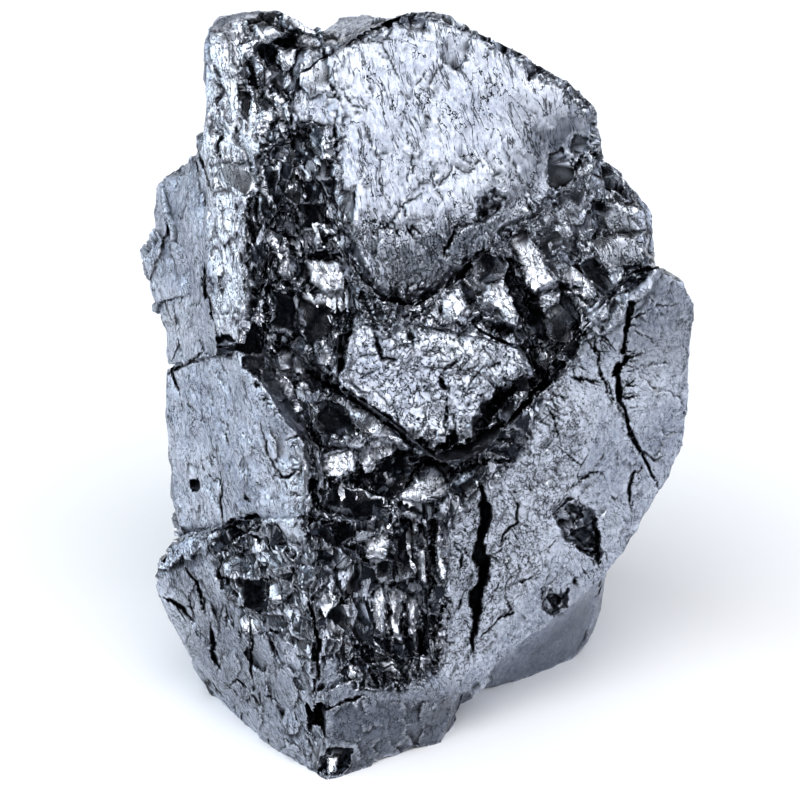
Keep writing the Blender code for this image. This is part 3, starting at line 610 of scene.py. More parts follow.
for outline, lean, lift in (
    # the slabs under the crown
    ([(9.8, 13.8), (11.1, 14.2), (11.8, 12.8), (12.8, 10.8), (14, 9.2), (14.8, 7.8), (15.2, 5.5),
        (14.5, 2.8), (13, 2.8), (12.4, 5), (12.6, 7), (11.6, 8.8), (10.5, 11.4)], BLACK, -1.4),
    ([(11.2, 16.6), (12.3, 16.9), (13.4, 15.6), (14.8, 13.2), (16.1, 10.9), (15.7, 8.7), (14.8, 8.2),
        (13.7, 9.7), (12.7, 11.2), (11.8, 13.2), (11.1, 15)], WHITE, 0.5),
    ([(8.6, 11.6), (9.8, 12), (11, 10), (11.8, 8.2), (11.5, 7), (10.2, 7.8), (9.2, 9.6)], WHITE, 0.4),
    ([(9.7, 7.6), (11, 7.3), (12.1, 6.5), (11.8, 5.3), (10.5, 5.6)], PALE, 0.3),
    ([(14.5, 9), (15.6, 9.8), (17.3, 8.2), (18.4, 6.6), (17, 4.2), (15.2, 5), (14.7, 7)],
        (0.12, 0.1), -0.5),
    ([(13.4, 4.8), (15, 4.8), (16.4, 3.6), (15.2, 2), (13.8, 0.2), (12.8, 1.6)], BLACK, -0.9),
    ([(15.8, 12.8), (17.2, 13.3), (18.6, 12.4), (19.7, 10.8), (18.8, 10), (17.3, 10.6),
        (16.2, 11.6)], PALE, 0.4),
    ([(17.7, 13.8), (19.4, 14.2), (21.2, 11.6), (21.6, 10.2), (20.6, 9.8), (19.2, 11.4)], BLACK, -0.3),
    ([(22.2, 13.2), (24.2, 13.7), (24.4, 11.8), (23.2, 11), (22.4, 11.6)], BLACK, -0.9),
    ([(14.5, 24.4), (16.2, 25), (17.2, 23.2), (17.4, 21.2), (14.8, 20.9)], (0.1, -0.2), 0.6),
    ([(17, 26.4), (18.7, 26.2), (18.8, 24.5), (17.2, 24.3)], (0.1, -0.15), 0.6),
    ([(18.4, 15.9), (20, 16.4), (24.3, 16.8), (24.3, 13.8), (20.5, 12.8)], (-0.10, -0.22), 0.6),
    ([(20.4, 20), (24, 19.4), (24.6, 16.8), (20.6, 16.4)], (-0.15, -0.10), 0.2),
    ([(20, 23.4), (21.2, 23.4), (22.6, 21.8), (22.2, 20.4), (20.6, 21)], BLACK, -0.5),
    ([(19, 19.7), (20.2, 20), (20.4, 18.6), (19.4, 18)], BLACK, -0.8),
    ([(15.6, 20.4), (17.8, 21.2), (19, 19.6), (18, 17.2), (16, 17.8)], (-0.1, -0.12), 0.2),
    ([(13.6, 16.8), (15.2, 17.6), (16, 16), (15.6, 14.2), (14.4, 13.8)], (0.1, 0.1), -0.3),
    ([(0, 10), (2.4, 10), (3, 8.6), (1, 7.8), (-0.6, 8.4)], BLACK, -0.5),
    ([(-3.8, 11), (-2.4, 10), (-1.6, 8.4), (-2.6, 7), (-3.8, 8.6)], BLACK, -0.5),
    ([(6.2, 13.6), (8.4, 14.8), (10, 14.3), (11, 13.6), (10.3, 11.8), (8.8, 11.7), (7.8, 10.2),
        (6.6, 9.4), (6, 11.6)], BLACK, -0.6),
    ([(4.3, 10.3), (6, 10.8), (6.4, 9.4), (5.8, 7.6), (4.6, 7.8)], PALE, 0.3),
    # the valley floor
    ([(-15.2, 19.9), (-14.1, 19.9), (-13.8, 17.1), (-15, 14.8), (-15.5, 16.2)], BLACK, -1.6),
    ([(-8.6, 23.8), (-6.6, 23.6), (-6.6, 21.6), (-8.2, 21.8)], BLACK, 0.0),
    ([(-12, 21.5), (-10.4, 21.5), (-9, 20.3), (-9.5, 18.7), (-11.3, 20.1)], GREY, 0.3),
    ([(-13.8, 23), (-12, 23.4), (-12, 21.6), (-13, 20.4)], BLACK, 0.0),
    ([(-10.6, 19.4), (-10.3, 19.4), (-10.4, 17.3), (-10.7, 18)], WHITE, 0.4),
    ([(-7.2, 19.4), (-6.6, 19.6), (-6.7, 17.8), (-7.4, 18.3)], WHITE, 0.4),
    ([(-10, 19.4), (-7.5, 19.6), (-7.6, 17.8), (-10, 16.2)], BLACK, 0.0),
    ([(-8.6, 17.7), (-6, 17), (-6, 16.6), (-7.4, 16.4)], WHITE, 0.3),
    ([(-6.5, 21), (-4.6, 20.8), (-4.6, 17.4), (-6.2, 17.2)], BLACK, -0.2),
    ([(-7.9, 15.5), (-6.7, 15.4), (-6.9, 14.9), (-7.7, 15)], WHITE, 0.4),
    ([(-10.5, 14.8), (-5.8, 14.6), (-5.8, 13.9), (-10.2, 14)], BLACK, -0.9),
    ([(-9.5, 13.9), (-6.7, 13.8), (-5.6, 13.2), (-5.6, 11.1), (-7.6, 10.4), (-9, 12)], PALE, 0.4),
    ([(-13.6, 17.6), (-12.9, 17.1), (-11.5, 14.1), (-12, 13.6), (-13.2, 15.5)], WHITE, 0.4),
    ([(-11.5, 14.8), (-11.1, 15), (-11.1, 13), (-12.2, 12), (-12.2, 12.7)], WHITE, 0.3),
    ([(-10.6, 12.3), (-10.1, 12.1), (-9.5, 10.9), (-10.4, 11.3)], WHITE, 0.4),
    ([(-14.7, 11.2), (-14.2, 11.2), (-13.5, 9.3), (-13.5, 7.4), (-14.8, 7.8)], WHITE, 0.5),
    ([(-13.2, 11.2), (-10.4, 10.7), (-10.6, 6.5), (-13.1, 6.5), (-13.4, 9.1)], BLACK, -0.4),
    ([(-10.2, 10.6), (-7, 10.2), (-6.4, 7), (-8.8, 5.5), (-10, 8)], BLACK, 0.0),
    ([(-10.9, 4.8), (-9.5, 3.6), (-9.2, 1.9), (-10.6, 3)], WHITE, 0.6),
    ([(-8.3, 4.7), (-6.5, 4.6), (-6.9, 3.4), (-8.4, 3.4)], WHITE, 0.4),
    ([(-13.4, 6.1), (-12.5, 5.5), (-12, 4.4), (-12.9, 5)], WHITE, 0.3),
    ([(-15.4, 4.5), (-13.6, 4.7), (-13.3, 3.3), (-14.5, 2.5), (-15.4, 3.3)], GREY, 0.2),
    # under the boss
    ([(-8.5, -6.9), (-7.3, -5.7), (-4.3, -4.9), (-4.4, -7.2), (-6.7, -8)], WHITE, 0.6),
    ([(-12.3, 3.2), (-11.6, 2.8), (-10.4, 0.8), (-9.7, -0.8), (-10.4, -1.2), (-11.4, 0.4),
        (-12.1, 1.8)], WHITE, 0.4),
    ([(-10.3, 1.9), (-9.4, 1.6), (-9.2, -0.2), (-10, 0)], WHITE, 0.4),
    ([(-9.2, -0.4), (-7, 0), (-4.8, -1.2), (-3.8, -3), (-6, -3.8), (-8.2, -3)], BLACK, -0.5),
    ([(-5.2, -1), (-4.4, -0.5), (-1.8, -2.4), (1.2, -4.7), (0.4, -5.2), (-2.6, -3.8),
        (-4.8, -2.4)], PALE, 0.3),
    ([(-3.4, -4), (-1.4, -3.6), (-0.4, -4.6), (-1, -5.6), (-2.3, -7), (-3.4, -7.4),
        (-4, -5.5)], WHITE, 0.4),
    ([(-2.2, -6.2), (0.2, -5), (2, -5.7), (0.5, -8.7), (-1, -9.9), (-2.6, -9)], BLACK, -0.4),
    ([(2, -6.9), (3.2, -6.4), (4.7, -8.1), (5, -9.6), (3.2, -10.2), (-0.1, -9.9), (1.1, -8.1)], WHITE, 0.5),
    ([(-9.1, -7.8), (-6.4, -8.1), (-4, -8.7), (-1.3, -9.9), (-1, -11.1), (-4, -12), (-8.2, -10.8),
        (-8.8, -9.9)], BLACK, -1.4),
    ([(-0.7, -10.2), (2, -10), (3.8, -11.1), (3.2, -11.7), (-0.1, -11.3)], BLACK, -0.2),
    ([(-4, -14.4), (-1.9, -12.9), (-1, -13.2), (-1.3, -15.6), (-3.4, -15.6)], WHITE, 0.4),
    ([(-8.5, -14.7), (-6.1, -14.7), (-4.6, -15.9), (-5.5, -16.8), (-8.2, -16.2)], GREY, 0.3),
    ([(-8.2, -19.5), (-7, -18.9), (-6.1, -19.5), (-7.6, -21.6)], WHITE, 0.4),
    ([(-7.3, -21), (-4.9, -19.2), (-4, -21), (-5.2, -23.7), (-7, -23.7)], BLACK, -0.9),
    ([(-3, -19.4), (-2, -18.7), (-1.3, -20), (-1.6, -23.7), (-2.4, -23)], WHITE, 0.3),
    ([(-1.2, -19), (-0.3, -18.5), (0.3, -20), (0, -24.1), (-0.9, -23.6)], PALE, 0.2),
    ([(0.6, -19.2), (1.6, -19.7), (2.1, -21.2), (1.7, -23.4), (0.9, -24)], WHITE, 0.3),
    ([(-1.4, -20.4), (-0.9, -20.4), (-0.8, -24), (-1.4, -23.8)], BLACK, -0.6),
    ([(0.2, -20.4), (0.7, -20.4), (0.8, -24), (0.2, -24.1)], BLACK, -0.6),
    ([(-2.5, -23.7), (2, -23.4), (2, -25.5), (0.5, -26.7), (-1.9, -24.9)], GREY, 0.1),
    ([(-4.6, -24), (-2.2, -24.9), (0.2, -26.7), (-0.1, -27.5), (-2.8, -26.6), (-4.3, -25.4)], BLACK, -0.7),
    ([(-5.2, -26.1), (-4.4, -26.4), (-4.6, -27.7), (-5.2, -27.7)], WHITE, 0.5),
    ([(-7, -12), (-4.8, -12.4), (-4.4, -14.2), (-6.4, -14.5)], BLACK, -0.5),
    ([(-0.5, -12), (1.2, -12), (1.6, -18), (-0.2, -18)], BLACK, -0.5),
    ([(1.9, -12.2), (2.5, -12.2), (2.8, -18.5), (2, -18)], WHITE, 0.2),
    ([(2.9, -12), (3.6, -12), (3.7, -17.6), (3, -17.4)], BLACK, -0.4),
    ([(3.7, -12.2), (4.6, -12.4), (4.6, -18), (3.9, -17.8)], WHITE, 0.2),
):
    facet(outline, lean, lift)
ribs([(-3.5, -18.4), (-1.4, -18), (2, -20), (2.8, -25), (2, -26.8), (-1.5, -25.5),
    (-3, -22)], -8, 0.7, 3.0, 0.30, 361)
ribs([(-16, 19.5), (-12.5, 18.5), (-12, 11), (-13.2, 5.5), (-15, 10)], -12, 0.6, 4.0, 0.30, 365)
ribs([(-9.5, 14.1), (-5.6, 13.8), (-5.4, 11), (-8, 10.2)], -30, 0.7, 3.0, 0.25, 366)
ribs([(-8.5, -4.5), (0, -4), (0, -8), (-6, -8.5)], 10, 0.6, 3.0, 0.15, 367)
for route, width, depth in (
    ([(-9.2, 2.6), (-6.4, 1.3), (-4.9, 0.5), (-2.4, -1.3), (-0.8, -2.3), (1.2, -3.9), (3, -5.5)], 0.9, 1.8),
    ([(12.4, 6), (13.4, 3.8), (14.5, 1.9), (11.2, -1.7), (8.1, -3.8)], 0.7, 1.2),
):
    crack(route, width, depth)


# --- The boss ---------------------------------------------------------------------------------------
# The boss is a thick plate that stands out in the middle, crazed all over by fine cracks. Its edges broke
# away in small chips, and it has lost a bigger one at its lower right corner.
BOSS = [(-3.2, 9.9), (-4.9, 7.3), (-5.6, 3.8), (-5.5, 1.7), (-2.9, 0.3), (-1.8, -1.2), (1.2, -4),
    (3.7, -4.7), (5.1, -3.8), (6.9, -3.7), (7.7, -2.5), (9.1, 0), (10.7, 1), (13.2, 2.2), (12.4, 6.5),
    (8, 7.5), (4, 7), (0, 8), (-1.5, 6.5)]
level([(-6, 8.2), (13.2, 8.2), (13.2, -5), (-6, -5)], (10.6, 9.9, 12.2, 12.6), "cut", blend=0.1)
level(BOSS, sloping(BOSS, -0.03, -0.17, 11.05), "set", blend=0.4)
flake(BOSS, (1.6, 1.8), 0.05, 451, step=0.02)
ribs([(7, 7.5), (12.6, 6.5), (13.2, 2.2), (10, 1.5), (8, 4)], 160, 0.8, 5.0, 0.1, 455)
chip([(-3.2, 9.7), (-1.6, 7), (0, 7.8), (4, 7.4), (8, 7.6), (12.4, 6.2), (13, 2.4), (10.7, 1.2),
    (9.1, 0), (7.7, -2.7), (5.1, -3.8), (1.2, -3.8)], 1.0, (0.9, 1.1), 1.0, 461)
for route, width, depth in (
    ([(-3, 7.5), (-2.3, 6.3), (-2, 4.3), (-0.2, 3.8), (0.2, 3.1)], 0.3, 0.5),
    ([(4, 2.5), (4.3, 1.6), (5, 0.7)], 0.6, 1.0),
    ([(5, 0.7), (4.7, -1.2), (4.5, -3.1)], 0.25, 0.4),
    ([(-6.5, 2.5), (-4, 4.3), (-0.4, 5.1), (2, 6)], 0.1, 0.04),
    ([(-0.6, 2), (1.1, 2.9), (4.1, 3.2), (5.9, 3.4), (7.6, 2.6), (9.1, 1.6), (10.5, 0.2)], 0.1, 0.04),
    ([(-0.1, 2.9), (2.2, 4.3), (5, 3.9), (7.3, 2.5), (9.6, 2), (11.5, 2.2)], 0.1, 0.04),
    ([(-0.1, 2.9), (-0.3, -0.3), (-1.2, -1.3)], 0.1, 0.04),
    ([(0.4, -1.2), (3.4, 0.2), (5, 0.4)], 0.1, 0.04),
    ([(5, -0.7), (7.3, 0.2), (8.9, 0.9)], 0.1, 0.04),
    ([(6.8, 9.4), (7.8, 7), (8.7, 4.3), (10.5, 1.6)], 0.14, 0.1),
    ([(8.2, 8.2), (9.2, 6.2), (10, 4.3), (11.4, 2.6)], 0.12, 0.08),
    ([(5.6, 7.8), (6.6, 6), (8.4, 4.8)], 0.12, 0.08),
    ([(0.2, 0), (2, 0.8), (3.6, 2)], 0.08, 0.04),
    ([(-4.8, 1), (-2.8, 2.6), (-0.8, 3.8)], 0.1, 0.04),
    ([(-5.4, 3.4), (-3.8, 2.4), (-1.6, 0.2), (0, -2.4)], 0.1, 0.04),
    ([(-1.6, 6.8), (0, 5.4), (2, 4.8)], 0.1, 0.04),
    ([(0.4, 7.4), (1.2, 5.8), (1, 4.4)], 0.1, 0.04),
    ([(3, 7), (3.6, 5.4), (4.6, 4.4)], 0.08, 0.04),
    ([(1.2, -3.6), (2.6, -2), (3, -0.4)], 0.1, 0.04),
    ([(6, -3), (6.6, -1.2), (7, 0.4)], 0.1, 0.04),
):
    crack(route, width, depth)
fringe([(-3, 9.5), (-1.6, 6.8), (4, 7.2), (8, 7.2), (12, 6)], 16, 2.4, 170, 651, 0.12)
fringe([(-2, 0), (1.2, -3.6), (5, -3.6), (7.7, -2.5), (10, 1), (12.8, 2.2)], 14, 2.2, -20, 655, 0.12)
fringe([(0, 5), (4, 2.5), (9, 3), (4, -1)], 10, 3.0, 60, 659, 0.12)
facet([(8.6, -0.4), (10, 1.1), (10.8, -0.4), (10, -2.4), (8.6, -1.8)], BLACK, -1.2)
facet([(9.8, -0.2), (11.2, 0), (11, -1.4), (10.2, -1.9)], WHITE, -0.2)


# --- The wing and the heel --------------------------------------------------------------------------
# The wing is the large plate at the lower right, cracked through from top to bottom, with two shallow
# pits where chips sprang out. The heel is the plain block behind it, which the lump stands on.
def gash(outline, depth):
    """A wide crack with ragged walls, the shape of an outline and depth in mm."""
    hit, inside = on_front(outline, 0.3)
    place[hit, 2] -= depth * np.clip(inside / 0.15, 0, 1)
    # Painted shade inside the gash.
    dark_lines_and_painted_shade[hit] = np.maximum(dark_lines_and_painted_shade[hit], np.clip(inside / 0.08, 0, 1))


WING = [(19.8, 7.2), (23.2, 12.5), (25.5, 13.8), (29, 10), (29, 0), (28, -7), (24, -11.5), (21.5, -17.2),
    (16, -18.5), (12, -24), (5.5, -29), (4, -26), (5.1, -17.3), (4.3, -14.2), (6.2, -11), (13, -4.6),
    (13.9, -0.7), (15.9, 2.5)]
WING_NEAR = [(5.5, -11.5), (13, -4.6), (13.9, -0.7), (17, 2.8), (20, -2), (17, -10), (14.5, -17),
    (10, -24), (5.5, -29), (4, -26), (5.1, -17.3), (4.3, -14.2)]
HEEL = [(5.5, -29), (12, -24), (16, -18.5), (21.5, -17.2), (22, -26), (16, -30), (8, -31)]
ribs(HEEL, 14, 2.2, 7.0, 0.25, 473)
flake(WING, (2.4, 3.0), 0.10, 471, step=0.05)
flake(WING_NEAR, (1.0, 1.6), 0.22, 475, step=0.07)
ribs([(10.3, -11.9), (14.5, -10), (16, -16), (12, -20), (9.5, -19)], 45, 0.5, 6.0, 0.10, 481)
ribs([(23.2, 10), (29, 10), (29, 0), (26, -7), (23.6, -4), (22, 2)], 80, 0.7, 3.0, 0.10, 485)
fringe([(23, 10), (22.4, 7), (21.8, 3.4), (22, 0)], 16, 3.0, 80, 611)
fringe([(20.2, 7), (18, 5), (16, 2.5), (14.5, -0.5), (13, -3.2), (12.5, -5.2)], 22, 2.6, 140, 621, 0.12)
fringe([(12, -6), (9.5, -9), (6, -11.5), (4.8, -14.5), (5.5, -18), (4.8, -23),
    (3.6, -27)], 12, 1.2, 110, 631, 0.12)
fringe([(10, -20), (14, -16), (16, -10), (20, -6)], 8, 3.0, 50, 641, 0.12)
fringe([(21, -16), (19, -18), (16, -20)], 8, 1.6, -20, 645)
chip([(19.8, 7), (18, 5.2), (16, 2.6), (15.3, 1), (13.9, -0.7), (12.9, -3), (12, -5), (9.5, -8),
    (6.2, -11), (4.6, -12.7), (4.4, -14.5), (5.2, -17.3), (4.6, -22), (4, -26.2), (2, -28.4)], 0.6,
    (0.8, 1.1), 0.9, 491)
chip([(20, 7.4), (21.6, 10), (23, 12.2), (25.5, 13.8)], 0.8, (1.0, 1.2), 0.8, 495)
for route, width, depth in (
    ([(23.1, 9.5), (22.5, 7), (22.2, 4), (21.3, 3.2), (21.6, 0.8), (22.2, -0.5), (22.8, -2.8),
        (24, -5.2), (26, -9.1)], 0.45, 0.9),
    ([(20, 2.5), (21.2, 0.2), (22.7, -2.8)], 0.14, 0.3),
    ([(18.4, 6.3), (19, 5.2), (19.8, 4.2), (20, 2.4), (20.4, 1), (21.2, -0.4)], 0.2, 0.4),
    ([(16.7, 2.6), (18.5, 2), (20, 1.4)], 0.14, 0.3),
    ([(24, 10.7), (25.2, 9.8), (26.8, 9.2), (27.8, 9.6)], 0.10, 0.2),
    ([(23.2, 7), (24.5, 6.4), (25.6, 5.6)], 0.10, 0.2),
    ([(9.1, -15.6), (10, -15), (10.6, -13.8)], 0.12, 0.3),
    ([(7.1, -19), (6.2, -20), (5.6, -21.6)], 0.12, 0.3),
    ([(7, -15.6), (6.2, -14.8), (5.2, -14)], 0.12, 0.3),
    ([(8.1, -21.2), (9.2, -20), (10, -18), (10.4, -16.6)], 0.12, 0.3),
    ([(7.8, -24), (9.6, -22.6), (10.6, -21.2)], 0.12, 0.3),
    ([(16.8, 2.7), (18.4, 2.1), (20.1, 1.7)], 0.16, 0.25),
    ([(24.2, -6.5), (23.2, -7.5), (23.1, -9.4), (23.3, -11.2)], 0.25, 0.4),
    ([(23.9, -5), (25.5, -6.1), (26.4, -5.6)], 0.16, 0.3),
    ([(15.2, -4.1), (17.9, -6.5), (18.8, -4.9)], 0.18, 0.3),
    ([(17.9, -6.5), (17.9, -8.6)], 0.14, 0.2),
    ([(11.1, -9.1), (11.8, -10.6), (11.6, -12.2), (10.4, -13.4), (10, -15.2)], 0.25, 0.4),
    ([(5.2, -14), (6.2, -15.6), (5.8, -19)], 0.22, 0.4),
    ([(14.5, -0.5), (15.4, -2.4), (15.8, -4)], 0.3, 0.5),
    ([(10, -22), (11.2, -21.2), (10.6, -19.6)], 0.25, 0.4),
    ([(20, -20), (20.6, -18)], 0.16, 0.3),
):
    crack(route, width, depth)
gash([(7.9, -8.1), (8.4, -8.6), (8.8, -10), (9.2, -10.5), (9, -12), (8.9, -13), (8.5, -14), (8.4, -15.2),
    (9.1, -15.6), (8.9, -16.6), (8.6, -18), (8.4, -19), (8.1, -20), (8.1, -21.2), (7.8, -22.5),
    (7.6, -24), (7.4, -25.6), (7.1, -24), (7.2, -22), (6.9, -20.6), (7.1, -19), (7.6, -18), (7.7, -16.6),
    (7.1, -15.6), (7.5, -14.5), (7.6, -13), (8, -12), (7.9, -10.5), (8.2, -9.7), (7.8, -8.8)], 1.8)
gash([(22.6, 10.2), (23.1, 9.8), (23, 8.2), (22.7, 6.6), (22.5, 5), (22.6, 4), (22, 3.8), (22.2, 5.5),
    (22.4, 7.5), (22.4, 9)], 1.2)
gash([(21.3, 3.6), (22, 3.8), (21.9, 2.2), (22.1, 0.8), (22, -0.2), (21.5, 0), (21.3, 1.5)], 1.4)
# A smooth dark face between the boss and the wing, cut after both, so that no chip breaks into it.
DARK_FACE = [(1.2, -4.3), (3.7, -5), (6.9, -4.1), (8, -3.3), (10.4, -3.1), (12.7, -3.3), (13.1, -4),
    (12.9, -5.2), (11.7, -6), (10, -6.4), (7.4, -6.9), (4.8, -6.7), (2.5, -5.7)]
level(DARK_FACE, sloping(DARK_FACE, -0.05, 0.35, 8.0), "set", blend=0.2)
flake(DARK_FACE, (3.0, 0.8), 0.2, 369, step=0.05, angle=8)
PIT = [(15.6, -10.8), (16.5, -9.9), (18.2, -9.8), (19.7, -11.2), (20, -13.2), (20.2, -15.9), (19, -15.4),
    (17.8, -14.6), (16.2, -13.6), (15.3, -12.2)]
LOW_PIT = [(14, -20), (14.8, -18.4), (16, -19), (17.2, -18.6), (17, -20.6), (15.6, -21.9), (14.6, -21.2)]
shatter(PIT, (1.1, 1.5), 1.2, 371, flat=1.0, step=0.5, blend=0.3)
facet([(16.5, -10.8), (17.5, -10.2), (18.3, -10.8), (18.3, -11.8), (17.2, -12.2)], (-0.45, 0.35), 0.1)
facet([(15.6, -12.2), (17.2, -12), (17.7, -12.7), (16.8, -13.5)], BLACK, -0.9)
facet([(16.9, -13.2), (18, -12.7), (19.4, -13.4), (19.6, -14.8), (18.4, -14.6)], (-0.50, 0.40), 0.1)
facet([(17.1, -14.3), (18.4, -14.9), (19.8, -15.2), (20, -16.2), (18.8, -15.6)], (-0.30, 0.60), -0.5)
facet([(19.4, -11.2), (19.9, -11.8), (20, -16), (19.6, -14.8)], BLACK, -0.7)
facet([(15.4, -11.2), (16.8, -9.8), (18, -9.7), (16.8, -10.2)], BLACK, -0.7)
shatter(LOW_PIT, (0.9, 1.0), 1.4, 381, flat=1.0, step=0.5, blend=0.3)
facet([(14.8, -19.8), (15.6, -19.3), (16.2, -20), (15.6, -21)], (-0.5, 0.4), 0.0)


# --- The whole surface ------------------------------------------------------------------------------
# All of it is one rock. The outer walls keep the shape of their own breaks, the fine grain of the break
# lies over everything, and painted shade darkens the hollow lines where the shards meet.
TRIANGLES = 190000
BEHIND = 0.13  # share of the triangles kept where the broad face doesn't look
GRAIN = 0.003  # mm high, the grain of the break on the plates
GLASSY_GRAIN = 0.006  # mm that the glassy break adds to it
SETTLED = 0.25  # mm, the height under which all of it comes down to the ground
HOLLOW = 0.035  # mm that a point lies below its neighbours in a plain hollow line
SHARP = math.radians(22)  # two faces that meet at more than this angle keep a sharp edge
GLASSY = (
    (DARK_FACE, 0.9), (CAVITY, 0.9), (VALLEY, 1.0), (RUGGED, 0.7), (SLABS, 0.7), (GULLY, 1.0), (LOWER, 1.0),
    (FISSURED, 0.9), (FOOT_TOP, 0.9), (TOE_HOLLOW, 1.0), (PIT, 0.3), (LOW_PIT, 0.4), (CROWN_BREAK, 0.6),
)  # where the rock broke like glass, and how glassy it is there
hollows = [outline for outline, most in GLASSY]

# How much of its carving each point keeps: all of it in front, and none where the side is steep.
kept = np.clip((normal[:, 2] - 0.05) / 0.3, 0, 1)
for outline in hollows + [COLUMN, FLANK, WEDGE, FOOT]:
    kept[on_front(outline)[0]] = 1.0
place[:, 2] = before + (place[:, 2] - before) * kept

broken = np.zeros(len(place))  # how much each point is on the glassy break
for outline, most in GLASSY:
    hit, depth = on_front(outline)
    broken[hit] = np.maximum(broken[hit], most * np.clip(depth / 0.4, 0, 1))
place += normal * (rough(place, 1.1, 441, 2) * (GRAIN + GLASSY_GRAIN * broken))[:, None]

# It stands flat on the ground.
height = place[:, 1] * math.cos(FACE_LEAN) + place[:, 2] * math.sin(FACE_LEAN) + FACE_CENTRE.z
sunk = np.where(height < SETTLED, -height, 0.0)
place[:, 1] += sunk * math.cos(FACE_LEAN)
place[:, 2] += sunk * math.sin(FACE_LEAN)
lump.data.vertices.foreach_set("co", place.ravel())
lump.data.update()

# How far each point lies in a hollow line between shards, where it gets painted shade, or stands out on an
# edge, where it gets a painted highlight.
normal = vectors(lump, "normal")
ends = np.empty(len(lump.data.edges) * 2, np.int64)
lump.data.edges.foreach_get("vertices", ends)
ends = ends.reshape(-1, 2)
around = np.zeros_like(place)
for one, other in ((0, 1), (1, 0)):
    for i in range(3):
        around[:, i] += np.bincount(ends[:, one], place[ends[:, other], i], minlength=len(place))
around /= np.bincount(ends.ravel(), minlength=len(place))[:, None]
hollow = ((around - place) * normal).sum(1)
# Painted shade in the hollow lines.
dark_lines_and_painted_shade = np.maximum(dark_lines_and_painted_shade, np.clip(hollow / HOLLOW - 0.5, 0, 0.9))
# A painted highlight on the edges that stand out.
edge = np.clip(-hollow / HOLLOW - 0.5, 0, 1)


def mark(name, amount):
    """Writes how much of a finish, or of painted light or shade, each point has, from 0 to 1, for the
    material to read.
    """
    lump.data.attributes.new(name, "FLOAT", "POINT").data.foreach_set("value", amount)


# The crack attribute holds the dark crack lines and the painted shade.
mark("crack", dark_lines_and_painted_shade)
mark("fresh", fresh)
# The edge attribute is a painted highlight.
mark("edge", edge)

# The mesh is thinned, most of all behind.
bpy.ops.object.mode_set(mode="EDIT")
bpy.ops.mesh.quads_convert_to_tris()
bpy.ops.mesh.select_all(action="DESELECT")
bpy.ops.object.mode_set(mode="OBJECT")
lump.data.vertices.foreach_set("select", normal[:, 2] < 0.0)
bpy.ops.object.mode_set(mode="EDIT")
bpy.ops.mesh.select_mode(type="VERT")
bpy.ops.mesh.decimate(ratio=BEHIND)
bpy.ops.object.mode_set(mode="OBJECT")
thin = lump.modifiers.new("thin", "DECIMATE")
thin.ratio = TRIANGLES / len(lump.data.polygons)
bpy.ops.object.modifier_apply(modifier="thin")

# Where each finish and each painted light or shade lies, found again on the points that are left.
place = vectors(lump, "co")
normal = vectors(lump, "normal")
fray, jag = frayed(place)
front = np.flatnonzero(normal[:, 2] > 0.0)
fresh = np.empty(len(place))
lump.data.attributes["fresh"].data.foreach_get("value", fresh)
whites = [outline for outline, lean in facets if lean in (WHITE, PALE)]
blacks = [outline for outline, lean in facets if lean == BLACK]
singles = [outline for outline, lean in facets]
# Outlines where the painted shade is darker: the scooped lower right edge of the crown, the low front and the
# top of the wing.
CROWN_EDGE = [(10, 31), (16, 32), (19.6, 28.7), (20, 24), (17.2, 21), (13.4, 18.5), (10.7, 16),
    (7, 12.4), (3, 10), (0, 9.2), (-2.2, 10), (-3, 15), (4, 17), (8, 21), (10, 25)]
LOW_FRONT = [(-8.4, -28), (8, -27.2), (8, -36), (-0.5, -40), (-10, -41)]
WING_TOP = [(18.5, 5.5), (23.2, 13.5), (25.5, 15), (32, 10), (32, 1), (22, 2)]


def each(outlines, share):
    """The same share for every one of some outlines."""
    return [(outline, share) for outline in outlines]


def finish(name, zones, blend, chipped=0.0, elsewhere=0.0):
    """Marks where a finish, or painted light or shade, lies. A later zone covers an earlier one, and its edge
    is blend mm wide.

    chipped is how much of the finish chipped edges have at least, and elsewhere what the rest has."""
    amount = np.full(len(place), elsewhere)
    for outline, most in zones:
        hit, depth = on_front(outline)
        amount[hit] += (most - amount[hit]) * np.clip(depth / blend, 0, 1)
    mark(name, np.maximum(amount, fresh * chipped))


# The shards that lean to the lamps are kept out of the black glassy colour, as part of their painted
# highlight.
finish("glassy", [*GLASSY, *each(whites, 0.05), *each(blacks, 1.0)], 0.1, chipped=0.55)
finish("slivered", [
    *each(hollows, 0.8), (GULLY, 0.1), (SLABS, 0.4), (RUGGED, 0.5), *each(singles, 0.05),
], 0.3, chipped=0.6)
finish("dashed", [
    (CROWN, 1.0), (BOSS, 0.0), (FLANK, 0.5), (CHEEK, 0.8), (WING, 0.3), (FOOT, 0.7), (TOE, 0.4),
    (HEEL, 0.1),
], 2.0, elsewhere=0.6)
finish("crazed", [
    (CROWN, 0.05), (CROWN_FOOT, 0.6), (RUGGED, 0.8), (BOSS, 0.75), (WING, 0.15), (WING_NEAR, 0.6),
    (TOE, 0.4), (SLABS, 0.5), (CHEEK, 0.3), (HEEL, 0.0), *each(whites, 0.7),
], 2.0, elsewhere=0.35)
finish("raked", [(WING, 0.5), (WING_NEAR, 1.0), (HEEL, 0.0)], 2.0)
finish("ribbed", [
    (COLUMN, 0.65), (FLANK, 0.3), (FOOT, 0.4), (WEDGE, 0.8), *each(whites, 0.2), *each(blacks, 0.0),
], 0.3)
# Painted highlight: the column, the wing near the boss and the shards that lean to the lamps are painted pale
# steel.
finish("bright", [(COLUMN, 0.9), (WING_NEAR, 0.45), *each(whites, 1.0)], 0.12)
